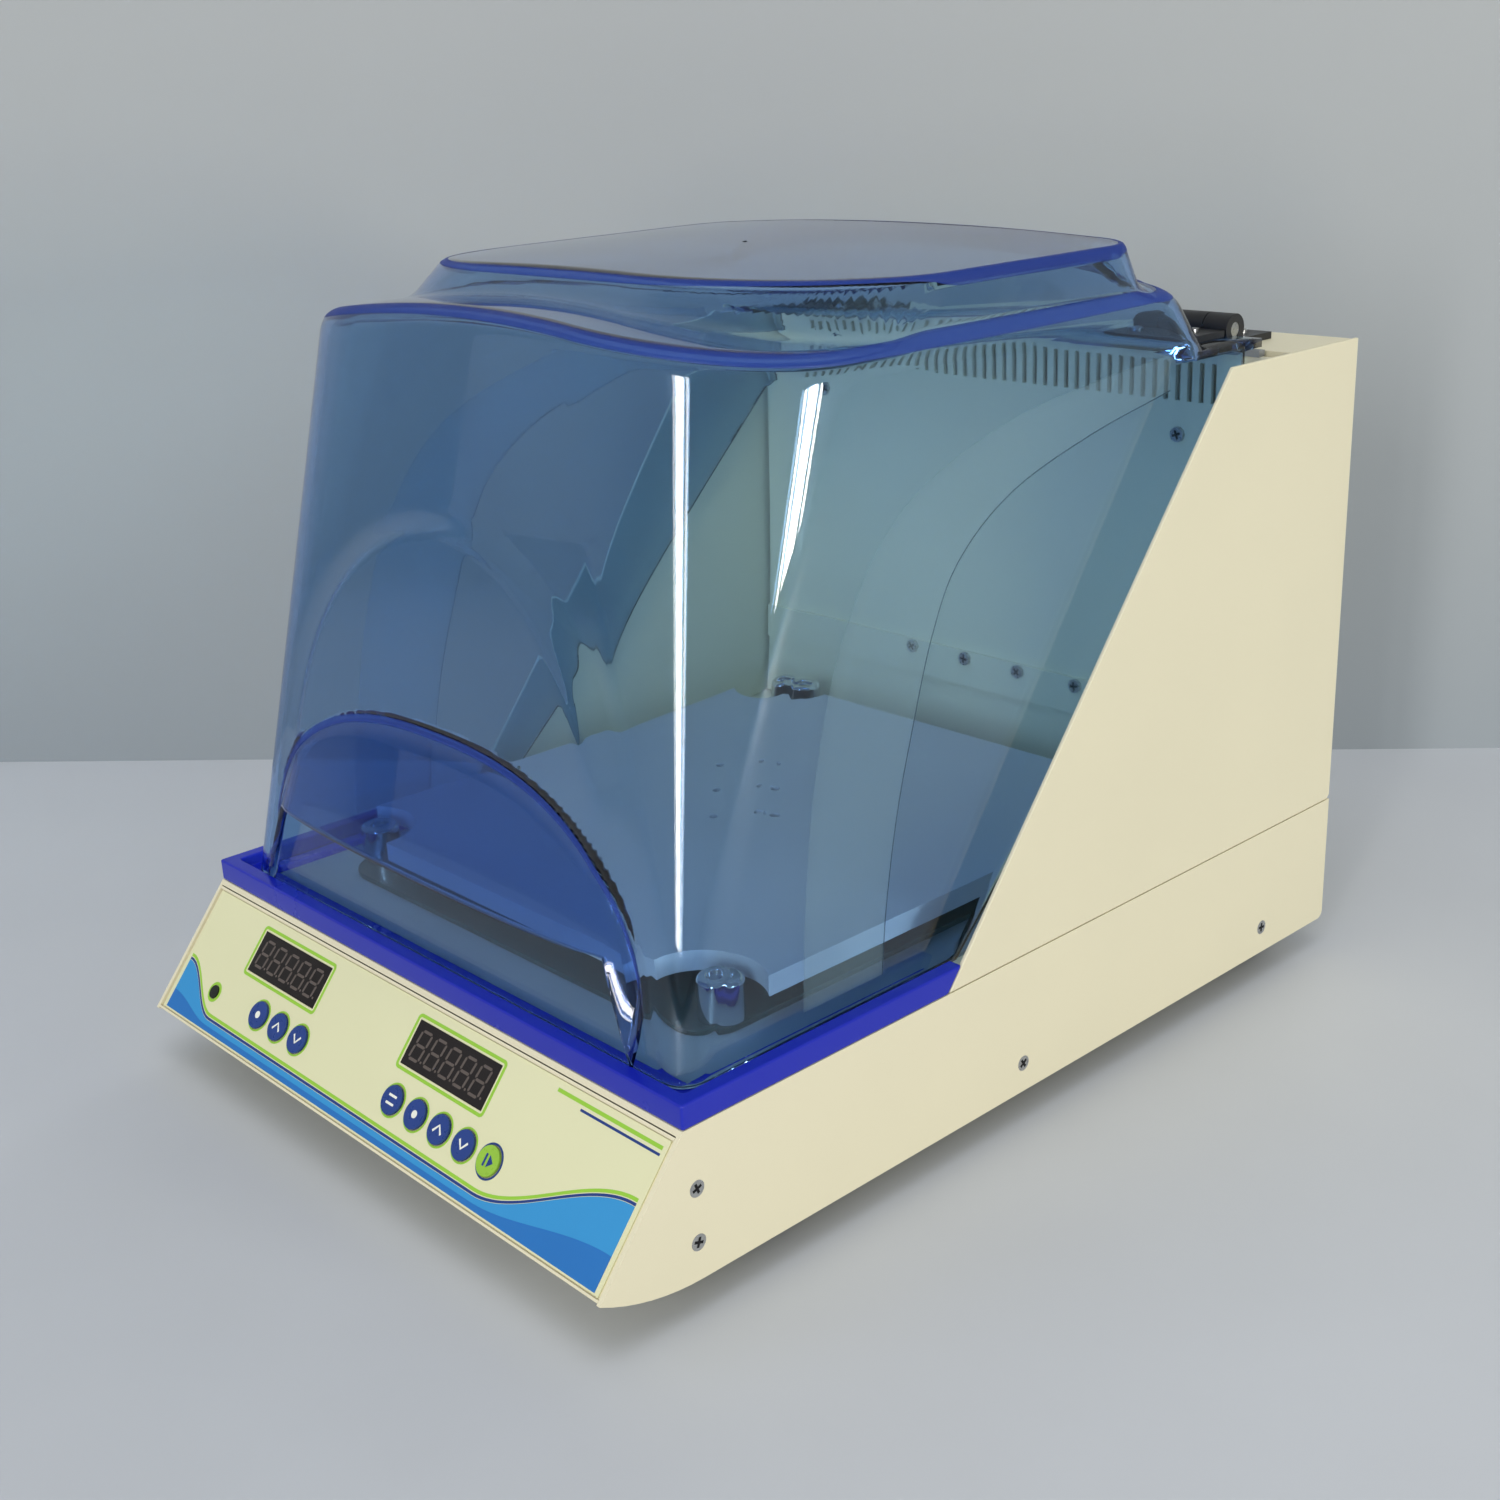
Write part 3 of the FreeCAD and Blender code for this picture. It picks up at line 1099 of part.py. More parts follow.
def grip_frame():
    """Foot point, upward and outward directions of the lid's leaning front."""
    foot = Vector(0, value("lid_foot_front_y"), value("lid_bottom"))
    top = Vector(0, value("lid_shoulder_front_y"), value("lid_shoulder_height"))
    up = Vector(top - foot).normalize()
    out = Vector(0, -up.z, up.y)
    return foot, up, out


def arch_half_width(v, half, middle, top):
    """Half the width of an elliptic arch at a height up the front, straight below its middle."""
    if v <= middle:
        return half
    return half * math.sqrt(max(1 - ((v - middle) / (top - middle)) ** 2, 0))


def grip_section(v, inset):
    """One level outline of the bulging grip arch: two flanks and a bowed face."""
    lip, crease = value("grip_lip"), value("grip_crease")
    rise, lip_rise = value("grip_rise"), value("grip_lip_rise")
    flank = arch_half_width(v, value("grip_half_width"), 36, value("grip_top")) - inset
    face = arch_half_width(v, value("grip_face_half_width"), 46, value("grip_face_top")) - inset
    down = max(min((crease - v) / (crease - lip), 1), 0)
    face += (value("grip_lip_half_width") - value("grip_face_half_width")) * down ** 3
    middle = rise + (lip_rise - rise) * down ** 1.6 - inset
    side = rise + (lip_rise - 0.8 - rise) * max(down - 0.35, 0) / 0.65 - inset
    side = min(side, middle - 0.05)
    foot, up, out = grip_frame()
    across = Vector(1, 0, 0)
    sunk = -value("lid_wall") * 0.5 if not inset else 0

    def at(x, d):
        return foot + across * x + up * v + out * d
    corners = [at(-flank, sunk), at(-face, side), at(0, middle), at(face, side), at(flank, sunk)]
    edges = [
        Part.LineSegment(corners[0], corners[1]).toShape(),
        Part.Arc(corners[1], corners[2], corners[3]).toShape(),
        Part.LineSegment(corners[3], corners[4]).toShape(),
        Part.LineSegment(corners[4], corners[0]).toShape(),
    ]
    return Part.Wire(edges)


def make_lid():
    """The clear moulded lid: a leaning shell with conical corners, crowned roof, dome, grip and flange."""
    wall = value("lid_wall")
    rear_top, rear_foot = value("lid_rear_top_y"), value("lid_rear_foot_y")
    flange_base = value("flange_base")
    flange_top = flange_base + wall
    crown = value("crown_height")
    slope = (rear_foot - rear_top) / (value("lid_shoulder_height") - flange_top)

    def rear_line(z, inset):
        return rear_foot - slope * (z - flange_top) - inset * math.sqrt(1 + slope * slope)
    side_foot, side_rear = value("lid_side_foot_y"), value("lid_side_rear_y")
    turn = value("lid_side_rear_height")
    bottom = value("lid_bottom")
    outline = [(-200, bottom), (side_foot, bottom), (side_rear, turn), (side_rear, flange_top),
               (rear_line(flange_top, 0), flange_top), (rear_line(crown + 20, 0), crown + 20),
               (-200, crown + 20)]
    hollow = [(-200, bottom - 10), (side_foot, bottom - 10), (side_rear + 60, turn - 60),
              (side_rear + 60, flange_base), (rear_line(flange_base, wall), flange_base),
              (rear_line(crown + 20, wall), crown + 20), (-200, crown + 20)]
    reach = value("housing_width / 2 + 20")
    outer = round_roof(lid_block(0), value("lid_edge_round")).common(side_prism(outline, reach))
    outer = outer.fuse(dome_block(0))
    flange = Part.makeBox(2 * value("lid_shoulder_half_width"), value("flange_rear_y") - rear_foot + 6, wall,
                          Vector(-value("lid_shoulder_half_width"), rear_foot - 6, flange_base))
    grip_levels = (value("grip_lip"), 45, 58, 70, 80, 100, 120, 134, 141)
    grip = Part.makeLoft([grip_section(v, 0) for v in grip_levels], True, False)
    pocket_levels = (value("grip_lip") - 3, value("grip_lip"), 45, 56, 66)
    finger_pocket = Part.makeLoft([grip_section(v, value("lid_wall") - 0.5) for v in pocket_levels],
                                  True, False)
    inner = lid_block(wall).common(side_prism(hollow, reach)).fuse(dome_block(wall))
    shell = outer.fuse([flange, grip]).cut(inner)
    shell = shell.cut(finger_pocket)
    notches = []
    for side in (1, -1):
        low = value("hinge_outer_x - hinge_length") - 0.5
        length = value("hinge_length") + 1
        start = low if side > 0 else -low - length
        notches.append(Part.makeBox(length, 20, 20, Vector(start, value("hinge_y") - 6, flange_base - 8)))
    item = doc.addObject("Part::Feature", "lid_shell")
    item.Shape = shell.cut(notches).removeSplitter()
    item.Placement = Placement()
    node("lid_shell", item)


def hinge_span(side, start, length):
    """Where a stretch of a hinge starts along X, for the right or the left hinge."""
    if side > 0:
        return f"hinge_outer_x - hinge_length + {start}"
    return f"-hinge_outer_x + hinge_length - ({start}) - ({length})"


def make_hinges():
    """Two barrel hinges: fixed leaves on the hood, moving leaves on the lid's flange, and their pins."""
    fixed = []
    moving = []
    pins = []
    screws_fixed = []
    screws_moving = []
    gap = "seam_gap"
    middle = "(hinge_length - 2 * hinge_knuckle - 2 * seam_gap)"
    for side in (1, -1):
        tag = "right" if side > 0 else "left"
        whole = hinge_span(side, "0", "hinge_length")
        leaf = block(f"fixed_leaf_{tag}", (whole, f"{whole} + hinge_length"),
                     ("hinge_y + 2", "hinge_y + 2 + leaf_depth"), ("hood_height", "hood_height + leaf_gauge"))
        knuckles = []
        for index, start in enumerate(("0", "hinge_length - hinge_knuckle")):
            x = hinge_span(side, start, "hinge_knuckle")
            knuckles.append(rod(f"fixed_knuckle_{tag}_{index}", "knuckle_radius", "hinge_knuckle",
                                x, "hinge_y", "hinge_z", "X"))
        relief = rod(f"fixed_relief_{tag}", "knuckle_radius + seam_gap", f"{middle} + 2 * {gap}",
                     hinge_span(side, "hinge_knuckle", f"({middle} + 2 * {gap})"), "hinge_y", "hinge_z", "X")
        bore = rod(f"fixed_bore_{tag}", "hinge_pin_radius + seat_fit", "hinge_length + 2",
                   f"{whole} - 1", "hinge_y", "hinge_z", "X")
        holes = leaf_screw_tools(f"fixed_{tag}", whole, "hinge_y + 2 + leaf_depth * 0.62", "hood_height")
        solid = join(f"fixed_solid_{tag}", [leaf] + knuckles)
        fixed.append(cut(f"fixed_hinge_{tag}", solid, [relief, bore] + holes))
        screws_fixed += leaf_screws(f"fixed_{tag}", whole, "hinge_y + 2 + leaf_depth * 0.62", "hood_height")

        middle_x = hinge_span(side, f"(hinge_knuckle + {gap})", middle)
        flange_top = "flange_base + lid_wall"
        plate = block(f"moving_leaf_{tag}", (whole, f"{whole} + hinge_length"),
                      ("hinge_y - 2 - leaf_depth", "hinge_y - knuckle_radius - 1"),
                      (flange_top, f"{flange_top} + leaf_gauge"))
        tongue = block(f"moving_tongue_{tag}", (middle_x, f"{middle_x} + {middle}"),
                       ("hinge_y - knuckle_radius - 2", "hinge_y - hinge_pin_radius"),
                       (flange_top, f"{flange_top} + leaf_gauge"))
        knuckle = rod(f"moving_knuckle_{tag}", "knuckle_radius", middle, middle_x, "hinge_y", "hinge_z", "X")
        bore = rod(f"moving_bore_{tag}", "hinge_pin_radius + running_fit", "hinge_length + 2", f"{whole} - 1",
                   "hinge_y", "hinge_z", "X")
        holes = leaf_screw_tools(f"moving_{tag}", whole, "hinge_y - 2 - leaf_depth * 0.62", flange_top)
        solid = join(f"moving_solid_{tag}", [plate, tongue, knuckle])
        moving.append(cut(f"moving_hinge_{tag}", solid, [bore] + holes))
        screws_moving += leaf_screws(f"moving_{tag}", whole, "hinge_y - 2 - leaf_depth * 0.62", flange_top)
        pins.append(rod(f"hinge_pin_{tag}", "hinge_pin_radius", "hinge_length - 0.4",
                        f"{whole} + 0.2", "hinge_y", "hinge_z", "X"))
    node("hood_hinge_leaves", group("hood_hinge_leaves", fixed))
    node("lid_hinge_leaves", group("lid_hinge_leaves", moving))
    node("hinge_pins", group("hinge_pins", pins))
    node("hood_hinge_screws", group("hood_hinge_screws", screws_fixed))
    node("lid_hinge_screws", group("lid_hinge_screws", screws_moving))


def leaf_screw_places(whole):
    """Two screws of a hinge leaf along X."""
    return [f"{whole} + hinge_length * 0.2", f"{whole} + hinge_length * 0.8"]


def leaf_screw_tools(name, whole, y, z):
    """Holes for the screws of a hinge leaf."""
    return [rod(f"{name}_hole_{i}", "screw_radius + seat_fit", "12", x, y, f"{z} - 4")
            for i, x in enumerate(leaf_screw_places(whole))]


def leaf_screws(name, whole, y, z):
    """Screws of a hinge leaf, each with a low round head."""
    screws = []
    for index, x in enumerate(leaf_screw_places(whole)):
        head = rod(f"{name}_screw_head_{index}", "screw_head_radius", "1.2", x, y, f"{z} + leaf_gauge")
        shank = rod(f"{name}_screw_shank_{index}", "screw_radius", "leaf_gauge", x, y, z)
        screws.append(join(f"{name}_screw_{index}", [head, shank]))
    return screws


def make_air_heater():
    """Behind the back wall: finned heater, fan frame, fan rotor and temperature sensor."""
    rear = "liner_y + sheet_gauge"
    heater_top = "fan_z - fan_size / 2 - heater_gap"
    span = (f"{heater_top} - heater_height", heater_top)
    base = block("heater_base", ("-70", "70"), (rear, f"{rear} + 3"), span)
    fins = [block(f"heater_fin_{i}", (f"{-66 + 12 * i}", f"{-64.5 + 12 * i}"),
                  (f"{rear} + 2", f"{rear} + 16"), span) for i in range(12)]
    node("air_heater", join("air_heater", [base] + fins))
    half = "fan_size / 2"
    frame = block("fan_block", (f"-{half}", half), (rear, f"{rear} + fan_depth"),
                  (f"fan_z - {half}", f"fan_z + {half}"))
    duct = rod("fan_duct", f"{half} - 2", "fan_depth + 2", "0", f"{rear} + 3", "fan_z", "Y")
    seat = rod("fan_seat", "3.05", "fan_depth", "0", f"{rear} - 1", "fan_z", "Y")
    node("fan_frame", cut("fan_frame", frame, [duct, seat]))
    hub = rod("fan_hub", "12", "fan_depth - 5", "0", f"{rear} + 4", "fan_z", "Y")
    axle = rod("fan_axle", "3", "4", "0", f"{rear} + 1", "fan_z", "Y")
    blades = []
    for index in range(7):
        blade = doc.addObject("Part::Box", f"fan_blade_{index}")
        bind(blade, "Length", f"{half} - 2 - 9.5 - 2")
        blade.Width = 1.2
        bind(blade, "Height", "fan_depth - 6")
        turn = Rotation(Vector(0, 1, 0), 360 / 7 * index + 3).multiply(Rotation(Vector(1, 0, 0), -42))
        reach = turn.multVec(Vector(9.5, 0, 0))
        blade.Placement = Placement(Vector(0, 0, 0), turn)
        bind(blade, "Placement.Base.x", f"{reach.x:.4f}")
        bind(blade, "Placement.Base.y", f"{rear} + 6.2 + {reach.y:.4f}")
        bind(blade, "Placement.Base.z", f"fan_z + {reach.z:.4f}")
        blades.append(blade)
    node("fan_rotor", join("fan_rotor", [hub, axle] + blades))
    sensor = rod("sensor_tube", "2", "26", "31 - liner_half_width", f"{rear} + 2", "fan_z + 17")
    node("temperature_sensor", sensor)


def make_power():
    """Power supply, rear panel, mains inlet with its contacts, and the mains switch."""
    panel_front = "rear_y - 2 - sheet_gauge"
    panel_rear = "rear_y - 2"
    half = "(housing_width / 2 - sheet_gauge - fit_gap)"
    sheet_block = block("rear_sheet", (f"-{half}", half), (panel_front, panel_rear),
                        ("foot_height + sheet_gauge + fit_gap", "deck_height - sheet_gauge - fit_gap"))
    inlet_hole = block("inlet_hole", ("inlet_x - 14", "inlet_x + 14"), ("rear_y - 20", "rear_y + 5"),
                       ("inlet_z - 10.5", "inlet_z + 10.5"))
    switch_hole = block("switch_hole", ("switch_x - 9.8", "switch_x + 9.8"), ("rear_y - 20", "rear_y + 5"),
                        ("inlet_z - 9.8", "inlet_z + 9.8"))
    node("rear_panel", cut("rear_panel", sheet_block, [inlet_hole, switch_hole]))

    shell = block("inlet_shell", ("inlet_x - 13.9", "inlet_x + 13.9"), ("rear_y - 24", panel_rear),
                  ("inlet_z - 10.4", "inlet_z + 10.4"))
    flange = block("inlet_flange", ("inlet_x - 16", "inlet_x + 16"), (panel_rear, "rear_y"),
                   ("inlet_z - 12.5", "inlet_z + 12.5"))
    socket = block("inlet_socket", ("inlet_x - 12", "inlet_x + 12"), ("rear_y - 17", "rear_y + 1"),
                   ("inlet_z - 8.2", "inlet_z + 8.2"))
    node("mains_inlet", cut("mains_inlet", join("inlet_solid", [shell, flange]), [socket]))
    contacts = [block(f"contact_{i}", (f"inlet_x + {dx} - 1", f"inlet_x + {dx} + 1"),
                      ("rear_y - 17", "rear_y - 4"), (f"inlet_z + {dz} - 2", f"inlet_z + {dz} + 2"))
                for i, (dx, dz) in enumerate(((-7, -2), (7, -2), (0, 2)))]
    node("inlet_contacts", group("inlet_contacts", contacts))

    case = block("switch_case", ("switch_x - 9.7", "switch_x + 9.7"), ("rear_y - 16", panel_rear),
                 ("inlet_z - 9.7", "inlet_z + 9.7"))
    bezel = block("switch_bezel", ("switch_x - 11.5", "switch_x + 11.5"), (panel_rear, "rear_y - 0.5"),
                  ("inlet_z - 11.5", "inlet_z + 11.5"))
    well = block("switch_well", ("switch_x - 8", "switch_x + 8"), ("rear_y - 11", "rear_y + 1"),
                 ("inlet_z - 8.6", "inlet_z + 8.6"))
    seat = rod("rocker_bearing", "rocker_pin_radius + running_fit", "18.8", "switch_x - 9.4", "rear_y - 7",
               "inlet_z", "X")
    node("switch_frame", cut("switch_frame", join("switch_solid", [case, bezel]), [well, seat]))
    body = doc.addObject("PartDesign::Body", "rocker_body")
    corners = [
        ("rear_y - 5", "inlet_z - 7.2"),
        ("rear_y - 1.6", "inlet_z - 7.2"),
        ("rear_y - 2.6", "inlet_z"),
        ("rear_y", "inlet_z + 7.2"),
        ("rear_y - 4", "inlet_z + 7.2"),
        ("rear_y - 8", "inlet_z + 2"),
        ("rear_y - 8", "inlet_z - 2"),
    ]
    sketch = sketch_on(body, "rocker_outline", "YZ_Plane", corners, offset="switch_x - 7.7")
    pad(body, sketch, "15.4", symmetric=False)
    pivot = rod("rocker_pivot", "rocker_pin_radius", "18.6", "switch_x - 9.3", "rear_y - 7", "inlet_z", "X")
    node("mains_rocker", join("mains_rocker", [body, pivot]))
    supply = block("power_supply", ("housing_width / 2 - 115", "housing_width / 2 - 25"),
                   ("62", "168"), ("foot_height + sheet_gauge", "deck_height - 16"))
    node("power_supply", supply)


make_casing()
make_bottom_tray()
make_casing_screws(make_feet())
make_front_panel()
make_overlay()
make_panel_electronics()
make_rim()
make_hood()
make_back_wall()
make_chamber_floor()
make_platform()
make_platform_hubs()
make_drive()
make_belt()
make_lid()
make_hinges()
make_air_heater()
make_power()
doc.recompute()

for item in doc.Objects:
    if any(word in item.State for word in ("Invalid", "Error")):
        raise RuntimeError(f"{item.Name} ({item.Label}) did not compute: {item.State}")
for name, item in NODES.items():
    if item.Shape.isNull() or not item.Shape.isValid() or not item.Shape.Solids:
        raise RuntimeError(f"{name} has no valid solid")

os.makedirs("parts", exist_ok=True)
for name, item in NODES.items():
    item.Shape.exportStep(f"parts/{name}.step")
    print(f"{name}: {len(item.Shape.Solids)} solids, {item.Shape.Volume / 1000:.2f} cm3")
print(f"{len(NODES)} sub-parts")
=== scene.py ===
# %% [markdown]
# # An incubated benchtop shaker
# A warm chamber stands on a low sheet-metal casing. A clear blue lid covers it, and inside it a
# tray swings round in small circles to mix whatever stands on it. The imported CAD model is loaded
# as a fixed frame. Sheet metal, shafts and screws already have their shape there, so they only
# get finishes and softer edges. The moulded lid and the printed keypad are made here.

# %% Load the frame
import bpy
import bmesh
import json
import numpy as np
from mathutils import Matrix


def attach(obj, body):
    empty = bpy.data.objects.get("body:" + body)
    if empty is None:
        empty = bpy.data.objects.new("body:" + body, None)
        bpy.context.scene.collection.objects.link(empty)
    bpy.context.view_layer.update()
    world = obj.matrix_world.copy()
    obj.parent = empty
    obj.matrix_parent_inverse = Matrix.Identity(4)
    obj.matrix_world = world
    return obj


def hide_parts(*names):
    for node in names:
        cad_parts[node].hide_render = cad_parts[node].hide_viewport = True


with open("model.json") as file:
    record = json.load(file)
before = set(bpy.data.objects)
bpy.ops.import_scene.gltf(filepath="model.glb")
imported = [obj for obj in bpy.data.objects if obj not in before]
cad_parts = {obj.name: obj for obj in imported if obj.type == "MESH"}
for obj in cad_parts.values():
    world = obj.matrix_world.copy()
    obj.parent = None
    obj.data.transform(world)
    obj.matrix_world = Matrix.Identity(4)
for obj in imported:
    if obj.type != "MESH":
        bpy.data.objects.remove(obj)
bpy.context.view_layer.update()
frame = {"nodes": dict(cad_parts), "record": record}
nodes = frame["nodes"]
MM = 0.001

# %% [markdown]
# ## Small helpers for meshes
# Every new piece is an array of points worked out by a formula, in millimetres and in the frame's
# own axes. One helper turns such an array into a smooth mesh in metres and puts it on its body of
# the frame, so each object sits at the origin, unturned. Another one makes thin flat shapes.

# %% Mesh helpers
def in_scene(name, data):
    """A new object in the scene that shows a mesh, a lamp or a camera."""
    made = bpy.data.objects.new(name, data)
    bpy.context.scene.collection.objects.link(made)
    return made


def piece(name, points, faces, body, material):
    """A smooth mesh piece from points in millimetres and a list of faces, riding on a CAD body."""
    mesh = bpy.data.meshes.new(name)
    mesh.from_pydata((np.asarray(points, float) * MM).tolist(), [], [list(f) for f in faces])
    mesh.validate()
    mesh.shade_smooth()
    mesh.materials.append(material)
    made = in_scene(name, mesh)
    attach(made, body)
    return made


def flat_piece(name, rings, body, material):
    """Thin flat shapes as one piece: each has a low and a high ring of points, and sides between."""
    points, faces, count = [], [], 0
    for low, high in rings:
        n = len(low)
        points += [low, high]
        faces += [[count + i for i in range(n)][::-1], [count + n + i for i in range(n)]]
        faces += [[count + i, count + (i + 1) % n, count + n + (i + 1) % n, count + n + i] for i in range(n)]
        count += 2 * n
    made = piece(name, np.concatenate(points), faces, body, material)
    made.data.shade_flat()
    return made


def grid_faces(rows, columns, first=0, closed=False):
    """Quads between neighbouring points of a grid, row by row, and round to the start if closed."""
    steps = columns if closed else columns - 1
    r, c = np.meshgrid(np.arange(rows - 1), np.arange(steps), indexing="ij")
    following = (c + 1) % columns
    quads = np.stack([r * columns + c, r * columns + following,
                      (r + 1) * columns + following, (r + 1) * columns + c], axis=-1)
    return (quads.reshape(-1, 4) + first).tolist()


def merge(made, distance=2e-5):
    """Joins points that lie together and makes the faces point outwards."""
    work = bmesh.new()
    work.from_mesh(made.data)
    bmesh.ops.remove_doubles(work, verts=work.verts, dist=distance)
    bmesh.ops.dissolve_degenerate(work, dist=distance / 2, edges=work.edges)
    bmesh.ops.recalc_face_normals(work, faces=work.faces)
    work.to_mesh(made.data)
    work.free()


def live(made, kind, **settings):
    """Adds a modifier and sets it."""
    modifier = made.modifiers.new(kind.title(), kind)
    for key, number in settings.items():
        setattr(modifier, key, number)
    return modifier


# %% [markdown]
# ## Finishes
# The real instrument is powder-coated steel, so its cream colour has a very fine orange-peel
# texture and an even satin shine. Moulded parts are smoother, and turned parts show faint
# rings. One recipe makes them all: noise on object coordinates moves the colour a little, another
# noise moves the roughness, and a third one gives the bump.

# %% The finish recipe
def srgb(red, green, blue):
    """A colour as read off a screen, 0 to 255, turned into the linear numbers that shaders use."""
    screen = np.array([red, green, blue]) / 255.0
    return tuple(np.where(screen <= 0.04045, screen / 12.92, ((screen + 0.055) / 1.055) ** 2.4)) + (1.0,)


def noise(tree, coordinates, scale, detail, stretch=None):
    """A noise texture at so many cells per metre, and stretched along an axis if asked."""
    texture = tree.nodes.new("ShaderNodeTexNoise")
    texture.inputs["Scale"].default_value = scale
    texture.inputs["Detail"].default_value = detail
    source = coordinates
    if stretch:
        mapping = tree.nodes.new("ShaderNodeMapping")
        mapping.inputs["Scale"].default_value = stretch
        tree.links.new(coordinates, mapping.inputs["Vector"])
        source = mapping.outputs["Vector"]
    tree.links.new(source, texture.inputs["Vector"])
    return texture.outputs["Fac"]


def spread(tree, source, low, high, start=0.3, end=0.7):
    """Maps a noise to numbers between low and high."""
    mapped = tree.nodes.new("ShaderNodeMapRange")
    mapped.inputs["From Min"].default_value = start
    mapped.inputs["From Max"].default_value = end
    mapped.inputs["To Min"].default_value = low
    mapped.inputs["To Max"].default_value = high
    tree.links.new(source, mapped.inputs["Value"])
    return mapped.outputs["Result"]


def finish(name, color, rough=(0.4, 0.5), metallic=0.0, vary=0.04, patch=18.0, grain=900.0,
           depth=0.00002, strength=0.3, stretch=None):
    """A procedural finish: colour noise in patches, roughness noise and a fine bump."""
    material = bpy.data.materials.new(name)
    material.use_nodes = True
    tree = material.node_tree
    shader = tree.nodes["Principled BSDF"]
    coordinates = tree.nodes.new("ShaderNodeTexCoord").outputs["Object"]
    blotches = noise(tree, coordinates, patch, 4.0, stretch)
    mix = tree.nodes.new("ShaderNodeMix")
    mix.data_type = "RGBA"
    rgb = np.array(color[:3])
    mix.inputs["A"].default_value = tuple(rgb * (1 - vary)) + (1.0,)
    mix.inputs["B"].default_value = tuple(np.minimum(rgb * (1 + vary), 1.0)) + (1.0,)
    tree.links.new(spread(tree, blotches, 0.0, 1.0), mix.inputs["Factor"])
    tree.links.new(mix.outputs["Result"], shader.inputs["Base Color"])
    smears = noise(tree, coordinates, patch * 4, 5.0, stretch)
    tree.links.new(spread(tree, smears, rough[0], rough[1]), shader.inputs["Roughness"])
    shader.inputs["Metallic"].default_value = metallic
    fine = noise(tree, coordinates, grain, 2.0, stretch)
    bump = tree.nodes.new("ShaderNodeBump")
    bump.inputs["Strength"].default_value = strength
    bump.inputs["Distance"].default_value = depth
    tree.links.new(fine, bump.inputs["Height"])
    tree.links.new(bump.outputs["Normal"], shader.inputs["Normal"])
    return material


# %% Opaque finishes
cream_coat = finish("cream powder coat", srgb(227, 219, 188), (0.42, 0.52), vary=0.015, patch=9,
                    grain=1600, depth=0.00003, strength=0.25)
rim_blue = finish("moulded rim blue", srgb(22, 36, 172), (0.2, 0.28), vary=0.015, patch=9,
                  grain=1500, strength=0.06)
black_moulding = finish("black moulding", srgb(26, 26, 28), (0.35, 0.5), vary=0.15, patch=60,
                        grain=1200, strength=0.4)
foot_rubber = finish("foot rubber", srgb(22, 22, 23), (0.7, 0.85), vary=0.2, patch=80, grain=500,
                     strength=0.4)
tray_grey = finish("platform coat", srgb(186, 186, 188), (0.38, 0.5), vary=0.03, patch=14,
                   grain=1400, strength=0.25)
drive_cover_coat = finish("drive cover coat", srgb(28, 60, 56), (0.3, 0.42), vary=0.1, patch=20)
floor_coat = finish("chamber floor coat", srgb(148, 156, 158), (0.4, 0.52), vary=0.05, patch=20,
                    grain=1200, strength=0.25)
chrome = finish("polished chrome", srgb(226, 228, 230), (0.06, 0.12), metallic=1.0, vary=0.02,
                patch=40, grain=400, strength=0.04)
steel = finish("bright screw steel", srgb(190, 190, 188), (0.22, 0.36), metallic=1.0, vary=0.08,
               patch=160, grain=2500)
alloy = finish("machined alloy", srgb(186, 188, 190), (0.3, 0.42), metallic=1.0, vary=0.05,
               patch=50, stretch=(1, 1, 12))
bronze = finish("bush bronze", srgb(196, 156, 88), (0.3, 0.45), metallic=1.0, vary=0.08, patch=60,
                strength=0.25)
board_green = finish("board lacquer", srgb(24, 92, 52), (0.3, 0.45), vary=0.12, patch=120, grain=800)
window_black = finish("display window", srgb(30, 24, 22), (0.12, 0.2), vary=0.1, patch=50,
                      grain=400, strength=0.05)
key_navy = finish("key navy", srgb(34, 62, 132), (0.25, 0.35), vary=0.06, patch=120, strength=0.15)
key_green = finish("key green", srgb(150, 196, 60), (0.25, 0.35), vary=0.06, patch=120, strength=0.15)
lamp_dark = finish("lamp lens", srgb(30, 34, 26), (0.1, 0.2), vary=0.1, patch=200, grain=800,
                   strength=0.1)
film_cream = finish("keypad film", srgb(224, 222, 180), (0.34, 0.44), vary=0.015, patch=12,
                    grain=2200)
# Painted shade for the screws' cross recesses, and also the colour of the lid's small dark gate pip.
painted_recess_shade_and_dark_pip = finish("painted recess shade and dark pip", srgb(24, 24, 26), (0.5, 0.7), metallic=0.6, vary=0.2, patch=300,
                     grain=2000)
seal_grey = finish("seal foam", srgb(140, 142, 140), (0.75, 0.9), vary=0.1, patch=90, grain=600,
                   strength=0.5)
print("materials so far, with the frame's own:", len(bpy.data.materials))

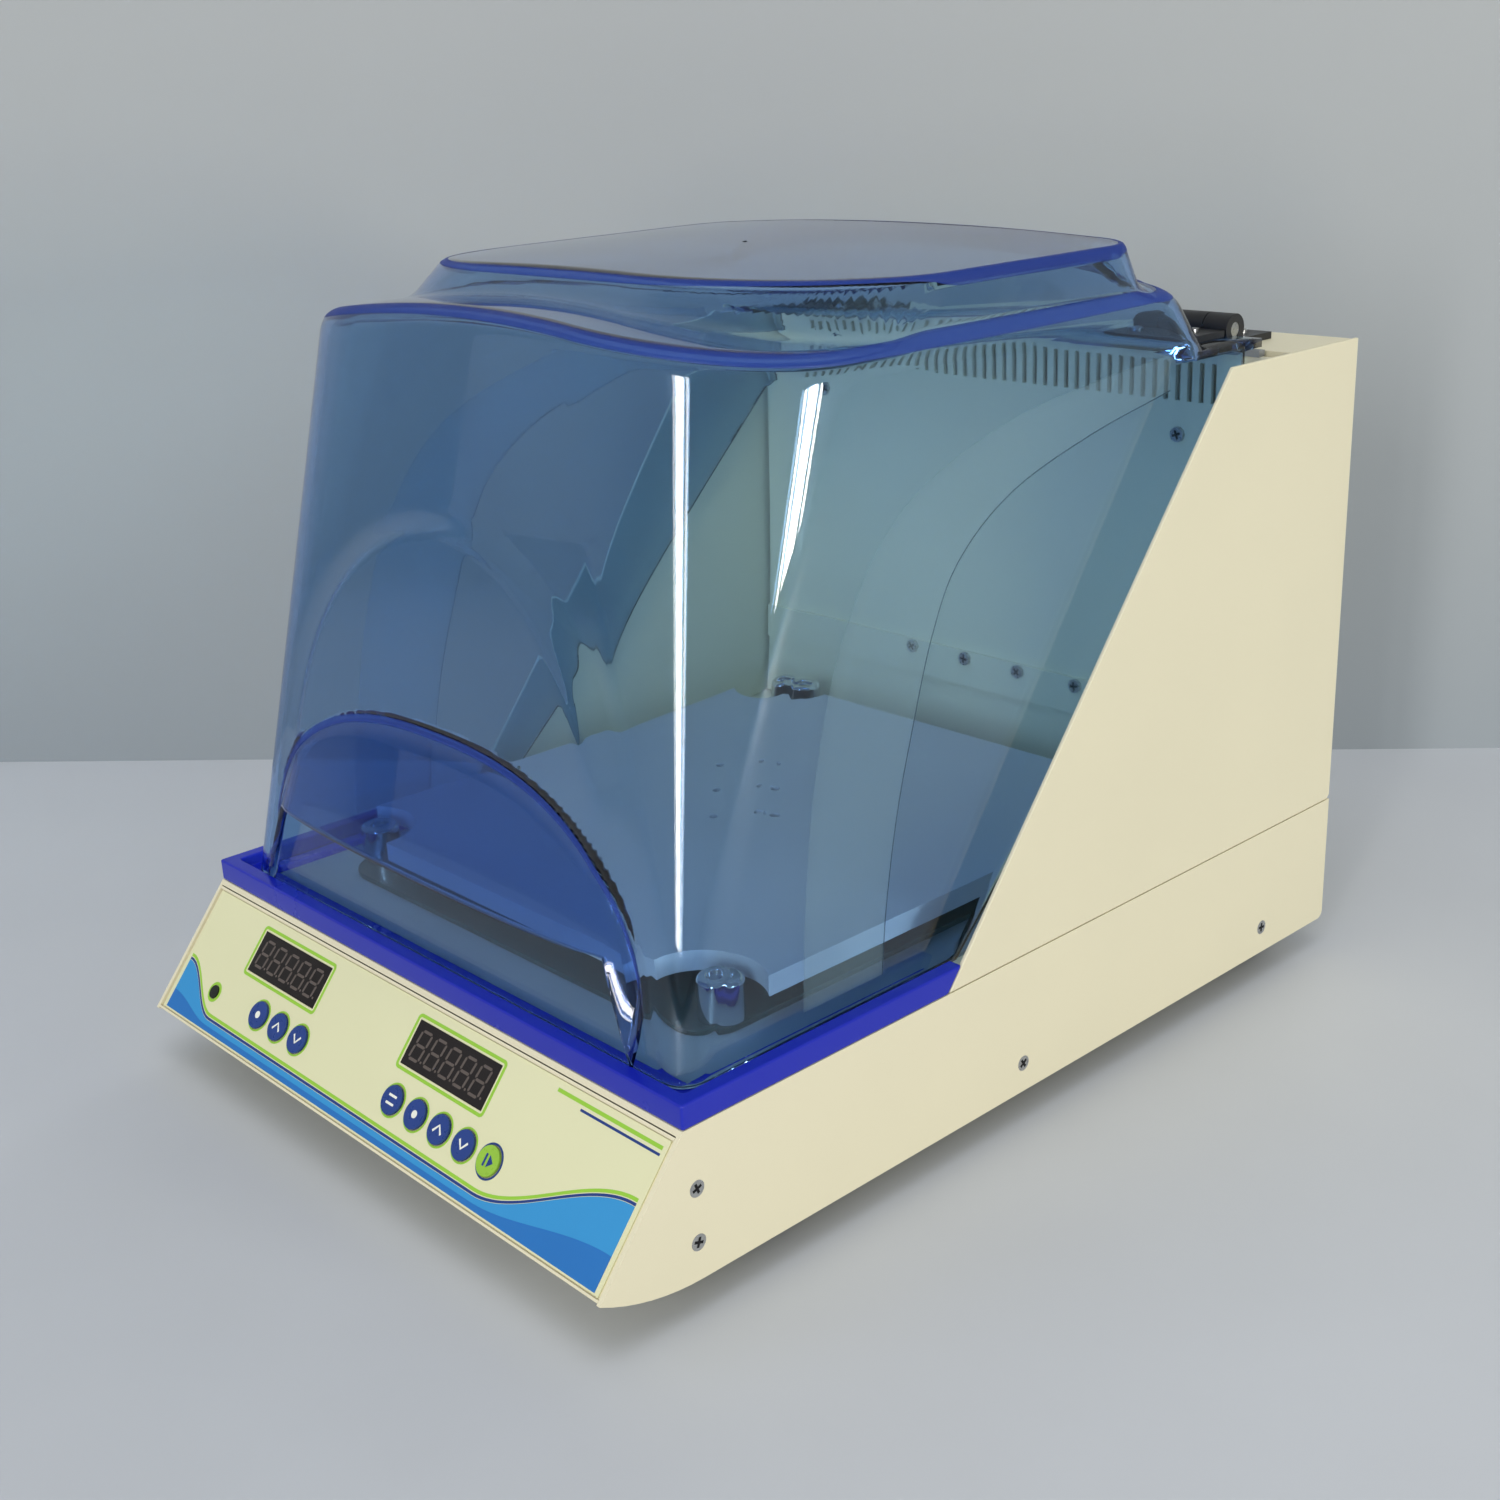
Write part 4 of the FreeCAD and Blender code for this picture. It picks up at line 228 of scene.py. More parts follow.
# %% Put them on the CAD nodes
CARRIED = {
    cream_coat: ["base_casing", "bottom_tray", "front_panel", "right_hood_side", "left_hood_side",
                 "hood_cover", "back_wall", "wall_strip", "rear_panel"],
    rim_blue: ["rim_frame"],
    black_moulding: ["key_switches", "hood_hinge_leaves", "lid_hinge_leaves", "fan_frame", "fan_rotor",
                     "mains_inlet", "switch_frame", "mains_rocker", "drive_motor"],
    foot_rubber: ["rubber_feet", "drive_belt"],
    tray_grey: ["platform", "power_supply"],
    drive_cover_coat: ["drive_cover"],
    floor_coat: ["chamber_floor"],
    chrome: ["corner_posts"],
    steel: ["casing_screws", "wall_screws", "hinge_pins", "hood_hinge_screws", "lid_hinge_screws",
            "bearing_plate", "spindle_bearings", "drive_crank", "right_idler_crank",
            "left_idler_crank", "motor_pulley", "counterweight", "temperature_sensor"],
    alloy: ["platform_hubs", "spindle_housing", "drive_pulley", "air_heater"],
    bronze: ["idler_bushes", "inlet_contacts"],
    board_green: ["control_board"],
    window_black: ["temperature_display", "speed_display"],
    key_navy: ["temperature_set_key", "temperature_up_key", "temperature_down_key", "mode_key",
               "speed_set_key", "speed_up_key", "speed_down_key"],
    key_green: ["start_stop_key"],
    lamp_dark: ["heat_lamp"],
    film_cream: ["keypad_overlay"],
    seal_grey: ["wall_seal"],
}
finish_of = {}
for material, names in CARRIED.items():
    for name in names:
        finish_of[name] = material
        shown = nodes[name]
        if not shown.data.materials:
            shown.data.materials.append(material)
        for holder in shown.material_slots:
            holder.link = "OBJECT"
            holder.material = material
print("finishes on", len(finish_of), "nodes; left for a new piece:", set(nodes) - set(finish_of))

# %% [markdown]
# ## Softer edges on folded sheet and mouldings
# CAD edges are perfectly sharp, but a folded, sanded and coated sheet has a small radius that
# catches the light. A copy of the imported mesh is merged, its flat facets are joined, and a Bevel
# modifier rounds what is left. The copy then stands for the CAD node. A rounded copy has a little
# less area than the node, so the areas are printed: a number above 1 would mean a torn face.

# %% Bevelled copies
bodies = frame["record"]["behaviour"]["bodies"]
body_of = {name: body for body, names in bodies.items() for name in names}
SLOTTED = ("hood_cover",)  # a flat face with a row of slots can tear where its facets are joined
SAME_PLACE = 1e-6
FLAT_ANGLE, SHARP_ANGLE = np.radians(0.6), np.radians(35)


def triangle_area(mesh):
    """The area of all the triangles that a mesh is drawn with."""
    mesh.calc_loop_triangles()
    areas = np.empty(len(mesh.loop_triangles))
    mesh.loop_triangles.foreach_get("area", areas)
    return areas.sum()


def joined_facets(name):
    """A copy of a CAD node's mesh with merged points, and joined flat facets unless it is slotted."""
    mesh = nodes[name].data.copy()
    work = bmesh.new()
    work.from_mesh(mesh)
    bmesh.ops.remove_doubles(work, verts=work.verts, dist=SAME_PLACE)
    if name not in SLOTTED:
        bmesh.ops.dissolve_limit(work, angle_limit=FLAT_ANGLE, verts=work.verts, edges=work.edges)
    work.to_mesh(mesh)
    work.free()
    return mesh


def softened(name, width):
    """A copy of a CAD node with rounded edges: a bevel on each edge sharper than the angle."""
    mesh = joined_facets(name)
    mesh.name = name + "_soft"
    mesh.shade_smooth()
    mesh.materials.clear()
    mesh.materials.append(finish_of[name])
    copy = in_scene(name + "_soft", mesh)
    live(copy, "BEVEL", width=width * MM, segments=2, limit_method="ANGLE",
         angle_limit=SHARP_ANGLE, harden_normals=True, miter_outer="MITER_ARC")
    live(copy, "WEIGHTED_NORMAL", mode="FACE_AREA", weight=80)
    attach(copy, body_of[name])
    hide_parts(name)
    return copy


SOFT_EDGES = {
    "base_casing": 0.5, "bottom_tray": 0.4, "front_panel": 0.4, "right_hood_side": 0.4,
    "left_hood_side": 0.4, "hood_cover": 0.4, "rim_frame": 0.8, "platform": 0.5,
    "drive_cover": 0.5, "wall_strip": 0.4, "corner_posts": 0.4, "hood_hinge_leaves": 0.6,
    "lid_hinge_leaves": 0.6, "rubber_feet": 0.8, "mains_inlet": 0.5, "switch_frame": 0.5,
    "mains_rocker": 0.6,
}
for name, width in SOFT_EDGES.items():
    copy = softened(name, width)
    seen = copy.evaluated_get(bpy.context.evaluated_depsgraph_get())
    print(name, "faces", len(copy.data.polygons), "area against the CAD node",
          round(triangle_area(seen.to_mesh()) / triangle_area(nodes[name].data), 4))
    seen.to_mesh_clear()
print("softened", len(SOFT_EDGES), "nodes")

# %% [markdown]
# ## The clear lid
# The lid is one thin blue moulding. Its walls lean in as they rise, and the corners are cones:
# tight at the foot and wide at the shoulder, so that the lid slips off its mould. The roof is
# crowned from side to side, and a shallow dome stands on it. Modelled as one surface with a real
# wall, light bends in it as it does in the real one. The outline at each height is a rounded
# rectangle whose sizes change evenly with height, and the wall is ruled between them.

# %% The lid's sizes
FOOT_Z, SHOULDER_Z = 66.5, 262.0
HALF_WIDTH, FRONT_Y, CORNER = (121.5, 116.0), (-141.5, -114.5), (10.0, 60.0)  # foot and shoulder
SIDE_FOOT_Y, SIDE_TURN_Y, SIDE_TURN_Z = -25.0, 131.0, 213.0
CROWN_Z, CROWN_R = 274.0, 561.0
FLANGE_Z, FLANGE_REAR_Y, NOTCH_Y = 241.5, 141.5, 136.5
HINGE_X, NOTCH_HALF = 85.0, 21.0
REAR_FOOT_Y, REAR_TOP_Y, REAR_CORNER = 116.0, 99.0, 14.0
WALL = 3.0


def level(z, pair):
    """A lid size at height z: it changes in a straight line between foot and shoulder."""
    return pair[0] + (pair[1] - pair[0]) * (z - FOOT_Z) / (SHOULDER_Z - FOOT_Z)


def side_end(z):
    """Where the side wall ends at the back: a straight slanted line up to the turn, then upright."""
    share = (z - FOOT_Z) / (SIDE_TURN_Z - FOOT_Z)
    return np.where(z < SIDE_TURN_Z, SIDE_FOOT_Y + (SIDE_TURN_Y - SIDE_FOOT_Y) * share, SIDE_TURN_Y)


def rear_line(z):
    """Y of the slanted rear wall above the flange."""
    return REAR_FOOT_Y + (REAR_TOP_Y - REAR_FOOT_Y) * (z - FLANGE_Z) / (SHOULDER_Z - FLANGE_Z)


def crowned(x, top, radius):
    """Height of a roof that is a circle of the given radius across the lid."""
    return top - (radius - np.sqrt(radius ** 2 - x ** 2))


print("lid:", 2 * HALF_WIDTH[0], "mm wide at the foot,", 2 * HALF_WIDTH[1], "mm at the shoulder")

# %% Points round an open or closed outline
STEPS = dict(corner_steps=26, side_steps=30, front_steps=46)
HALF_RING = sum(STEPS.values())
END_STEPS = (4, 5)


def half_outline(z, ends, corner_steps, side_steps, front_steps):
    """Right half of the outline at heights z, from the middle of the front to the end of the side.

    Front: x runs from 0 to w - r. Corner: a quarter circle of radius r. Side: y runs to the first
    of the ends, and on to each further one in a few steps. Returns x and y, one row for each height."""
    w, f, r = level(z, HALF_WIDTH)[:, None], level(z, FRONT_Y)[:, None], level(z, CORNER)[:, None]
    t_front = np.linspace(0, 1, front_steps, endpoint=False)[None, :]
    t_corner = np.linspace(0, 1, corner_steps, endpoint=False)[None, :]
    t_side = np.linspace(0, 1, side_steps)[None, :]
    end = ends[0]
    angle = t_corner * np.pi / 2
    x = np.hstack([t_front * (w - r), w - r + r * np.sin(angle), w + 0 * t_side])
    side_start = f + r
    y = np.hstack([f + 0 * t_front, f + r - r * np.cos(angle),
                   side_start + (end[:, None] - side_start) * t_side])
    for start, stop, steps in zip(ends[:-1], ends[1:], END_STEPS):
        t = np.linspace(0, 1, steps + 1)[None, 1:]
        y = np.hstack([y, start[:, None] + (stop - start)[:, None] * t])
        x = np.hstack([x, w + 0 * t])
    return x, y


def both_halves(x, y, z):
    """Mirrors the right half, so that a row runs from the left end round the front to the right."""
    left = np.stack([-x[:, :0:-1], y[:, :0:-1], z[:, :0:-1]], -1)
    right = np.stack([x, y, z], -1)
    return np.concatenate([left, right], axis=1)


print("half an outline has", HALF_RING, "points, and", sum(END_STEPS), "more at its end")

# %% [markdown]
# ## The grip on the lid's front
# A shallow arch stands out 3 mm from the front. Below a curved crease its lower part flares
# out into a lip, and fingers go up behind the lip to lift the lid. The arch and the wall above the
# crease are one skin. Below the crease the wall steps back, and the lip is a second skin.

# %% Distance that the grip stands out
SLOPE = (FRONT_Y[1] - FRONT_Y[0]) / (SHOULDER_Z - FOOT_Z)
UP = np.array([0.0, SLOPE, 1.0]) / np.hypot(1.0, SLOPE)
OUT = np.array([0.0, -UP[2], UP[1]])
GRIP_FOOT = np.array([0.0, FRONT_Y[0], FOOT_Z])
OUTER_ARCH, INNER_ARCH = (105.0, 36.0, 149.0), (81.0, 46.0, 141.0)  # half width, middle, top
RAISED = 3.0
CREASE_HALF, CREASE_TOP, CREASE_POWER = 104.0, 78.0, 2.5


def on_front(x, v, d):
    """Points at x, a distance v up the leaning front wall and a distance d out of it."""
    spot = GRIP_FOOT + v[..., None] * UP + d[..., None] * OUT
    spot[..., 0] += x
    return spot


def smooth_step(t):
    """0 below 0, 1 above 1 and an even S between them."""
    t = np.clip(t, 0, 1)
    return t * t * (3 - 2 * t)


def rounded_ramp(t, bend=0.14):
    """An even slope from 0 to 1, with a short parabola of length 2 * bend at each end."""
    low = np.where(t < 2 * bend, t ** 2 / (4 * bend), t - bend)
    high = np.where(t > 1 - 2 * bend, (1 - t) ** 2 / (4 * bend), 1 - t - bend)
    return np.where(t < 0.5, low, 1 - 2 * bend - high) / (1 - 2 * bend)


def arch_radius(x, v, half, middle, top):
    """1 on an elliptic arch whose flanks run straight down below its middle, less inside it."""
    up = np.maximum(v - middle, 0) / (top - middle)
    return np.sqrt((x / half) ** 2 + up ** 2)


def crease_height(x):
    """The line under the raised face: |x / half|^2.5 + |v / top|^2.5 = 1, highest in the middle."""
    inside = np.maximum(1 - np.abs(x / CREASE_HALF) ** CREASE_POWER, 0)
    return CREASE_TOP * inside ** (1 / CREASE_POWER)


def face_rise(x, v):
    """How far the raised face stands out: 3 mm inside the inner arch, 0 outside the outer arch."""
    outer, inner = arch_radius(x, v, *OUTER_ARCH), arch_radius(x, v, *INNER_ARCH)
    share = np.clip((1 - outer) / np.maximum((1 - outer) + (inner - 1), 1e-6), 0, 1)
    share = np.where(inner <= 1, 1.0, np.where(outer >= 1, 0.0, share))
    return RAISED * rounded_ramp(share)


print("the front leans back", round(float(np.degrees(np.arctan(SLOPE))), 1), "degrees")

# %% The lid's walls
FADE, CREASE_STEP, FRONT_END_Y = 12.0, 3.0, -80.0
wall_z = np.unique(np.concatenate([np.linspace(FOOT_Z, FLANGE_Z, 120), [SIDE_TURN_Z]]))
side_stops = [np.minimum(side_end(wall_z), stop)
              for stop in (REAR_FOOT_Y - REAR_CORNER, REAR_FOOT_Y, SIDE_TURN_Y)]
wall_x, wall_y = half_outline(wall_z, side_stops, **STEPS)
wall_zz = np.broadcast_to(wall_z[:, None], wall_x.shape).copy()
height_up = (wall_zz - FOOT_Z) / UP[2]
in_front = smooth_step((level(wall_zz, HALF_WIDTH) - level(wall_zz, CORNER) + FADE - wall_x) / FADE)
above = smooth_step((height_up - crease_height(wall_x)) / CREASE_STEP + 0.5)
push = face_rise(wall_x, height_up) * above * in_front * (wall_y < FRONT_END_Y)
wall_y = wall_y + push * OUT[1]
wall_zz = wall_zz + push * OUT[2]
walls = both_halves(wall_x, wall_y, wall_zz)
print("wall grid", walls.shape)

# %% [markdown]
# ## Roof, dome and rear of the lid
# Above the flange the outline is closed: it also runs across the slanted rear wall. Rings of
# points climb the wall, turn over a rolled edge and cross the roof to its middle. On the roof the
# height comes from a formula, the crown with the dome laid over it. A smooth minimum and maximum
# give the dome its rounded foot and rim.

# %% Height of the roof with its dome
DOME_Z, DOME_R = 282.0, 1550.0
RIM_BLEND, FOOT_BLEND = 2.6, 3.2
# w is half the width, f the front, b the back, r and q the corner radii in front and behind.
DOME_FOOT = dict(w=111.0, f=-98.0, b=92.0, r=65.0, q=14.0, z=256.0)
DOME_TOP = dict(w=104.0, f=-69.0, b=84.0, r=70.0, q=14.0, z=286.0)


def dome_sizes(share):
    """The dome's outline at a share of the way from its foot to its top."""
    return {k: DOME_FOOT[k] + (DOME_TOP[k] - DOME_FOOT[k]) * share for k in "wfbrq"}


def outline_distance(x, y, w, f, b, r, q):
    """Distance outside a rounded rectangle, negative inside: corners r in front and q behind."""
    corner = np.where(y < (f + b) / 2, r, q)
    dx = np.abs(x) - (w - corner)
    dy = np.abs(y - (f + b) / 2) - ((b - f) / 2 - corner)
    return np.hypot(np.maximum(dx, 0), np.maximum(dy, 0)) + np.minimum(np.maximum(dx, dy), 0) - corner


def dome_wall(x, y):
    """Height at which the leaning dome wall passes over a point, found by halving an interval."""
    low, high = np.full_like(x, 200.0), np.full_like(x, 330.0)
    for _ in range(26):
        middle = (low + high) / 2
        share = (middle - DOME_FOOT["z"]) / (DOME_TOP["z"] - DOME_FOOT["z"])
        outside = outline_distance(x, y, **dome_sizes(share)) > 0
        high = np.where(outside, middle, high)
        low = np.where(outside, low, middle)
    return (low + high) / 2


def soft_min(a, b, reach):
    """The lower of two heights, rounded where they meet within the reach."""
    h = np.clip(0.5 + 0.5 * (b - a) / reach, 0, 1)
    return b + (a - b) * h - reach * h * (1 - h)


def lid_top(x, y):
    """Roof height with the dome: max(roof, min(dome wall, dome top)), both rounded."""
    dome = soft_min(dome_wall(x, y), crowned(x, DOME_Z, DOME_R), RIM_BLEND)
    return -soft_min(-crowned(x, CROWN_Z, CROWN_R), -dome, FOOT_BLEND)


print("middle of the dome at", round(float(lid_top(np.zeros(1), np.zeros(1))[0]), 1), "mm")

# %% Rings of the upper part
EDGE_ROUND = 7.0
ARC_STEPS, REAR_STEPS = 11, 29
HUB = np.array([0.0, 5.0])


def closed_outline(z):
    """The closed outline above the flange at one height, as points in order round it."""
    row = np.array([z])
    back = float(rear_line(z))
    x, y = half_outline(row, [np.array([back - REAR_CORNER])], **STEPS)
    w = float(level(z, HALF_WIDTH))
    angle = np.linspace(0, np.pi / 2, ARC_STEPS + 1)[1:]
    corner_x = w - REAR_CORNER + REAR_CORNER * np.cos(angle)
    corner_y = back - REAR_CORNER + REAR_CORNER * np.sin(angle)
    rear_x = np.linspace(w - REAR_CORNER, 0, REAR_STEPS + 1)[1:]
    x = np.concatenate([x[0], corner_x, rear_x])
    y = np.concatenate([y[0], corner_y, np.full(REAR_STEPS, back)])
    return np.stack([np.concatenate([x, -x[-2:0:-1]]), np.concatenate([y, y[-2:0:-1]])], -1)


low_ring, high_ring = closed_outline(FLANGE_Z), closed_outline(SHOULDER_Z)
lean = (high_ring - low_ring) / (SHOULDER_Z - FLANGE_Z)


def on_ruling(z):
    """Points of the ring at height z, each on its own straight ruling up the wall."""
    return low_ring + lean * (np.reshape(z, (-1, 1)) - FLANGE_Z)


meet_z = np.full(len(low_ring), SHOULDER_Z)
for _ in range(20):
    meet_z = crowned(on_ruling(meet_z)[:, 0], CROWN_Z, CROWN_R)
meet = np.column_stack([on_ruling(meet_z), meet_z])
inward = HUB - meet[:, :2]
inward /= np.linalg.norm(inward, axis=1)[:, None]
normal_in = np.roll(meet[:, :2], -1, 0) - np.roll(meet[:, :2], 1, 0)
normal_in = np.stack([-normal_in[:, 1], normal_in[:, 0]], -1)
normal_in /= np.linalg.norm(normal_in, axis=1)[:, None]
cosine = np.abs((normal_in * inward).sum(1))
down = np.column_stack([-lean, -np.ones(len(lean))])
down /= np.linalg.norm(down, axis=1)[:, None]
reach = EDGE_ROUND / np.maximum(cosine, 0.6)
across = meet[:, :2] + inward * reach[:, None]
roof_point = np.column_stack([across, lid_top(across[:, 0], across[:, 1])])
wall_point = meet + down * EDGE_ROUND
rows = []
for t in np.linspace(0, 1, 7):
    row_z = FLANGE_Z + (wall_point[:, 2] - FLANGE_Z) * t
    rows.append(np.column_stack([on_ruling(row_z), row_z]))
for t in np.linspace(0, 1, 9)[1:]:
    rows.append(wall_point * (1 - t) ** 2 + meet * (2 * t * (1 - t)) + roof_point * t ** 2)
for t in np.concatenate([np.linspace(0, 0.55, 54)[1:], np.linspace(0.55, 0.97, 16)[1:]]):
    flat = across + (HUB - across) * t
    rows.append(np.column_stack([flat, lid_top(flat[:, 0], flat[:, 1])]))
rings = np.array(rows)
print("upper rings", rings.shape)

# %% Flange behind the rear wall
NOTCH_END_X = 105.5
top_w = float(level(FLANGE_Z, HALF_WIDTH))
arc_end = HALF_RING + ARC_STEPS
arc = low_ring[HALF_RING - 1:arc_end]
flange_x = np.concatenate([[top_w, NOTCH_END_X, arc[-1, 0]], low_ring[arc_end:arc_end + REAR_STEPS, 0]])
flange_x = np.concatenate([flange_x, -flange_x[-2::-1]])
flange_y = np.concatenate([np.linspace(REAR_FOOT_Y, SIDE_TURN_Y, 6), [NOTCH_Y, FLANGE_REAR_Y]])
xx, yy = np.meshgrid(flange_x, flange_y)
flange = np.stack([xx, yy, np.full_like(xx, FLANGE_Z)], -1)
flange_faces = np.array(grid_faces(*xx.shape))
middle = flange.reshape(-1, 3)[flange_faces].mean(axis=1)
in_notch = (np.abs(np.abs(middle[:, 0]) - HINGE_X) < NOTCH_HALF) & (middle[:, 1] > NOTCH_Y)
flange_faces = flange_faces[~in_notch]
side_y = wall_y[-1, HALF_RING:HALF_RING + END_STEPS[0]][::-1]
side_points = np.stack([np.full(len(side_y), top_w), side_y], -1)
corner_rim = np.concatenate([arc, [[NOTCH_END_X, REAR_FOOT_Y]], side_points])
print("flange grid", flange.shape, "and", len(corner_rim), "points round each corner behind the arc")

# %% [markdown]
# ## Clear blue plastic
# A Principled shader with full transmission bends and tints the light. Rays from the lamps
# would be blocked by it, so for them a tinted Transparent shader takes its place, and the chamber
# is lit as through real plastic. Part of the blue is absorbed inside the wall, so that rolled
# edges, where light runs a long way through the plastic, look deeper than the flat walls.

# %% The clear finish
def clear_blue(name, tint, passing, inside, density):
    """Tinted clear plastic: transmission for the eye, a tinted Transparent shader for lamp light.

    Light that runs a distance x inside it is dimmed to exp(-(1 - inside) * density * x)."""
    material = bpy.data.materials.new(name)
    material.use_nodes = True
    tree = material.node_tree
    shader = tree.nodes["Principled BSDF"]
    shader.inputs["Transmission Weight"].default_value = 1.0
    shader.inputs["IOR"].default_value = 1.5
    shader.inputs["Base Color"].default_value = tint
    coordinates = tree.nodes.new("ShaderNodeTexCoord").outputs["Object"]
    haze = noise(tree, coordinates, 25.0, 6.0)
    tree.links.new(spread(tree, haze, 0.015, 0.05, 0.4, 0.75), shader.inputs["Roughness"])
    waves = noise(tree, coordinates, 9.0, 1.0)
    bump = tree.nodes.new("ShaderNodeBump")
    bump.inputs["Strength"].default_value = 0.2
    bump.inputs["Distance"].default_value = 0.0003
    tree.links.new(waves, bump.inputs["Height"])
    tree.links.new(bump.outputs["Normal"], shader.inputs["Normal"])
    window = tree.nodes.new("ShaderNodeBsdfTransparent")
    window.inputs["Color"].default_value = passing
    mix = tree.nodes.new("ShaderNodeMixShader")
    rays = tree.nodes.new("ShaderNodeLightPath")
    tree.links.new(rays.outputs["Is Shadow Ray"], mix.inputs["Fac"])
    tree.links.new(shader.outputs["BSDF"], mix.inputs[1])
    tree.links.new(window.outputs["BSDF"], mix.inputs[2])
    tree.links.new(mix.outputs["Shader"], tree.nodes["Material Output"].inputs["Surface"])
    absorb = tree.nodes.new("ShaderNodeVolumeAbsorption")
    absorb.inputs["Color"].default_value = inside + (1.0,)
    absorb.inputs["Density"].default_value = density
    tree.links.new(absorb.outputs["Volume"], tree.nodes["Material Output"].inputs["Volume"])
    return material


lid_plastic = clear_blue("clear blue plastic", (0.70, 0.82, 0.87, 1.0), (0.95, 0.98, 0.93, 1.0),
                         inside=(0.4, 0.63, 0.91), density=220.0)
# The lip is the same plastic as the lid; this darker, deeper blue copy of its finish is painted shade on the
# lip.
shaded_lip_plastic = clear_blue("lid plastic darkened as painted shade on the lip", (0.50, 0.66, 0.85, 1.0), (0.80, 0.84, 0.86, 1.0),
                         inside=(0.2, 0.42, 0.9), density=260.0)
print("clear finishes:", lid_plastic.name, "and", shaded_lip_plastic.name)

# %% Make the lid
round_ring = rings.shape[1]
points = [walls.reshape(-1, 3), rings.reshape(-1, 3)]
faces = grid_faces(*walls.shape[:2])
faces += grid_faces(*rings.shape[:2], first=len(points[0]), closed=True)
hub_index = len(points[0]) + len(points[1])
points.append([[*HUB, lid_top(HUB[:1], HUB[1:])[0]]])
last = hub_index - round_ring
faces += [[last + i, last + (i + 1) % round_ring, hub_index] for i in range(round_ring)]
points.append(flange.reshape(-1, 3))
faces += (flange_faces + hub_index + 1).tolist()
count = hub_index + 1 + len(points[-1])
corner_points = np.column_stack([corner_rim, np.full(len(corner_rim), FLANGE_Z)])
for side in (1, -1):
    points.append(corner_points * [side, 1, 1])
    faces.append(list(range(count, count + len(corner_rim)))[::side])
    count += len(corner_rim)
lid = piece("lid_skin", np.concatenate(points), faces, "lid", lid_plastic)
merge(lid)
live(lid, "SOLIDIFY", thickness=WALL * MM, offset=-1.0, use_even_offset=True)
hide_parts("lid_shell")
print("lid skin:", len(lid.data.vertices), "points")

# %% The lip of the grip
LIP_HALF, LIP_WALL, FLARE = 103.0, 2.5, 10.0
EDGE_V, EDGE_END_V, EDGE_TURN_X = 33.0, 1.5, 90.0


def lip_surface():
    """The flaring lip: from the crease, 3 mm out, down to its free edge, 13 mm out in the middle.

    d = 3 + 10 t^1.6, t = 0 at the crease and 1 at the free edge, and less towards both ends."""
    a, t = np.meshgrid(np.linspace(-1, 1, 81), np.linspace(0, 1, 30))
    x = LIP_HALF * a
    top_v = crease_height(x)
    fall = np.clip((np.abs(x) - EDGE_TURN_X) / (LIP_HALF - EDGE_TURN_X), 0, 1)
    edge_v = np.minimum(EDGE_V * (1 - fall) + EDGE_END_V * fall, top_v)
    bow = 1 - 0.35 * np.abs(a) ** 2.5
    span = np.clip((top_v - edge_v) / (CREASE_TOP - EDGE_V), 0, 1)
    return on_front(x, top_v + (edge_v - top_v) * t,
                    face_rise(x, top_v) + FLARE * bow * span ** 0.7 * t ** 1.6)


lip_points = lip_surface()
lip = piece("lid_grip_lip", lip_points.reshape(-1, 3), grid_faces(*lip_points.shape[:2]), "lid",
            shaded_lip_plastic)
merge(lip)
live(lip, "SOLIDIFY", thickness=LIP_WALL * MM, offset=-1.0, use_even_offset=True)
print("lip of the grip:", len(lip.data.vertices), "points")

# %% [markdown]
# ## Deep blue rims
# Where the plastic turns over an edge, light is caught inside it and comes out as a deep, strong
# blue. A renderer stops following such light after some turns and leaves a black line, so a thin
# film of that blue lies along the lid's shoulder, the rim of the dome and the grip's crease.

# %% Finishes of thin films
def veil(name, color, alpha):
    """A satin film that covers only a share alpha of what lies behind it."""
    material = finish(name, color, (0.45, 0.6), vary=0.03, patch=14, grain=900, strength=0.1)
    material.node_tree.nodes["Principled BSDF"].inputs["Alpha"].default_value = alpha
    return material


band_haze = veil("band haze", srgb(132, 162, 174), 0.13)
band_line = veil("band line", srgb(36, 66, 92), 0.45)
rim_deep = veil("deep rim", srgb(34, 66, 158), 0.5)
print("films:", band_haze.name, "-", band_line.name, "-", rim_deep.name)

# %% Rims of the shoulder, the dome and the crease
RIM_LIFT, RIM_THICK, RIM_HALF, RIM_DEPTH = 0.06, 0.04, 1.4, 1.5
CREASE_END, ABOVE_CREASE, BELOW_CREASE, CREASE_LIFT = 101.0, 1.6, 1.2, 0.1


def film_over(name, spots, closed=True):
    """A thin film on a grid of points: each point moves out along the normal by the lift.

    The normal is the cross product of the steps along and across the grid."""
    along = np.roll(spots, -1, 1) - np.roll(spots, 1, 1) if closed else np.gradient(spots, axis=1)
    normal = np.cross(along, np.gradient(spots, axis=0))
    normal /= np.linalg.norm(normal, axis=-1)[..., None]
    outward = np.sign((normal * [0, -1, 2]).sum(-1).mean())
    spots = spots + normal * outward * RIM_LIFT
    made = piece(name, spots.reshape(-1, 3), grid_faces(*spots.shape[:2], closed=closed), "lid",
                 rim_deep)
    faces_out = (np.array(made.data.polygons[0].normal) * normal[0, 0]).sum() * outward > 0
    live(made, "SOLIDIFY", thickness=RIM_THICK * MM, offset=-1.0 if faces_out else 1.0)


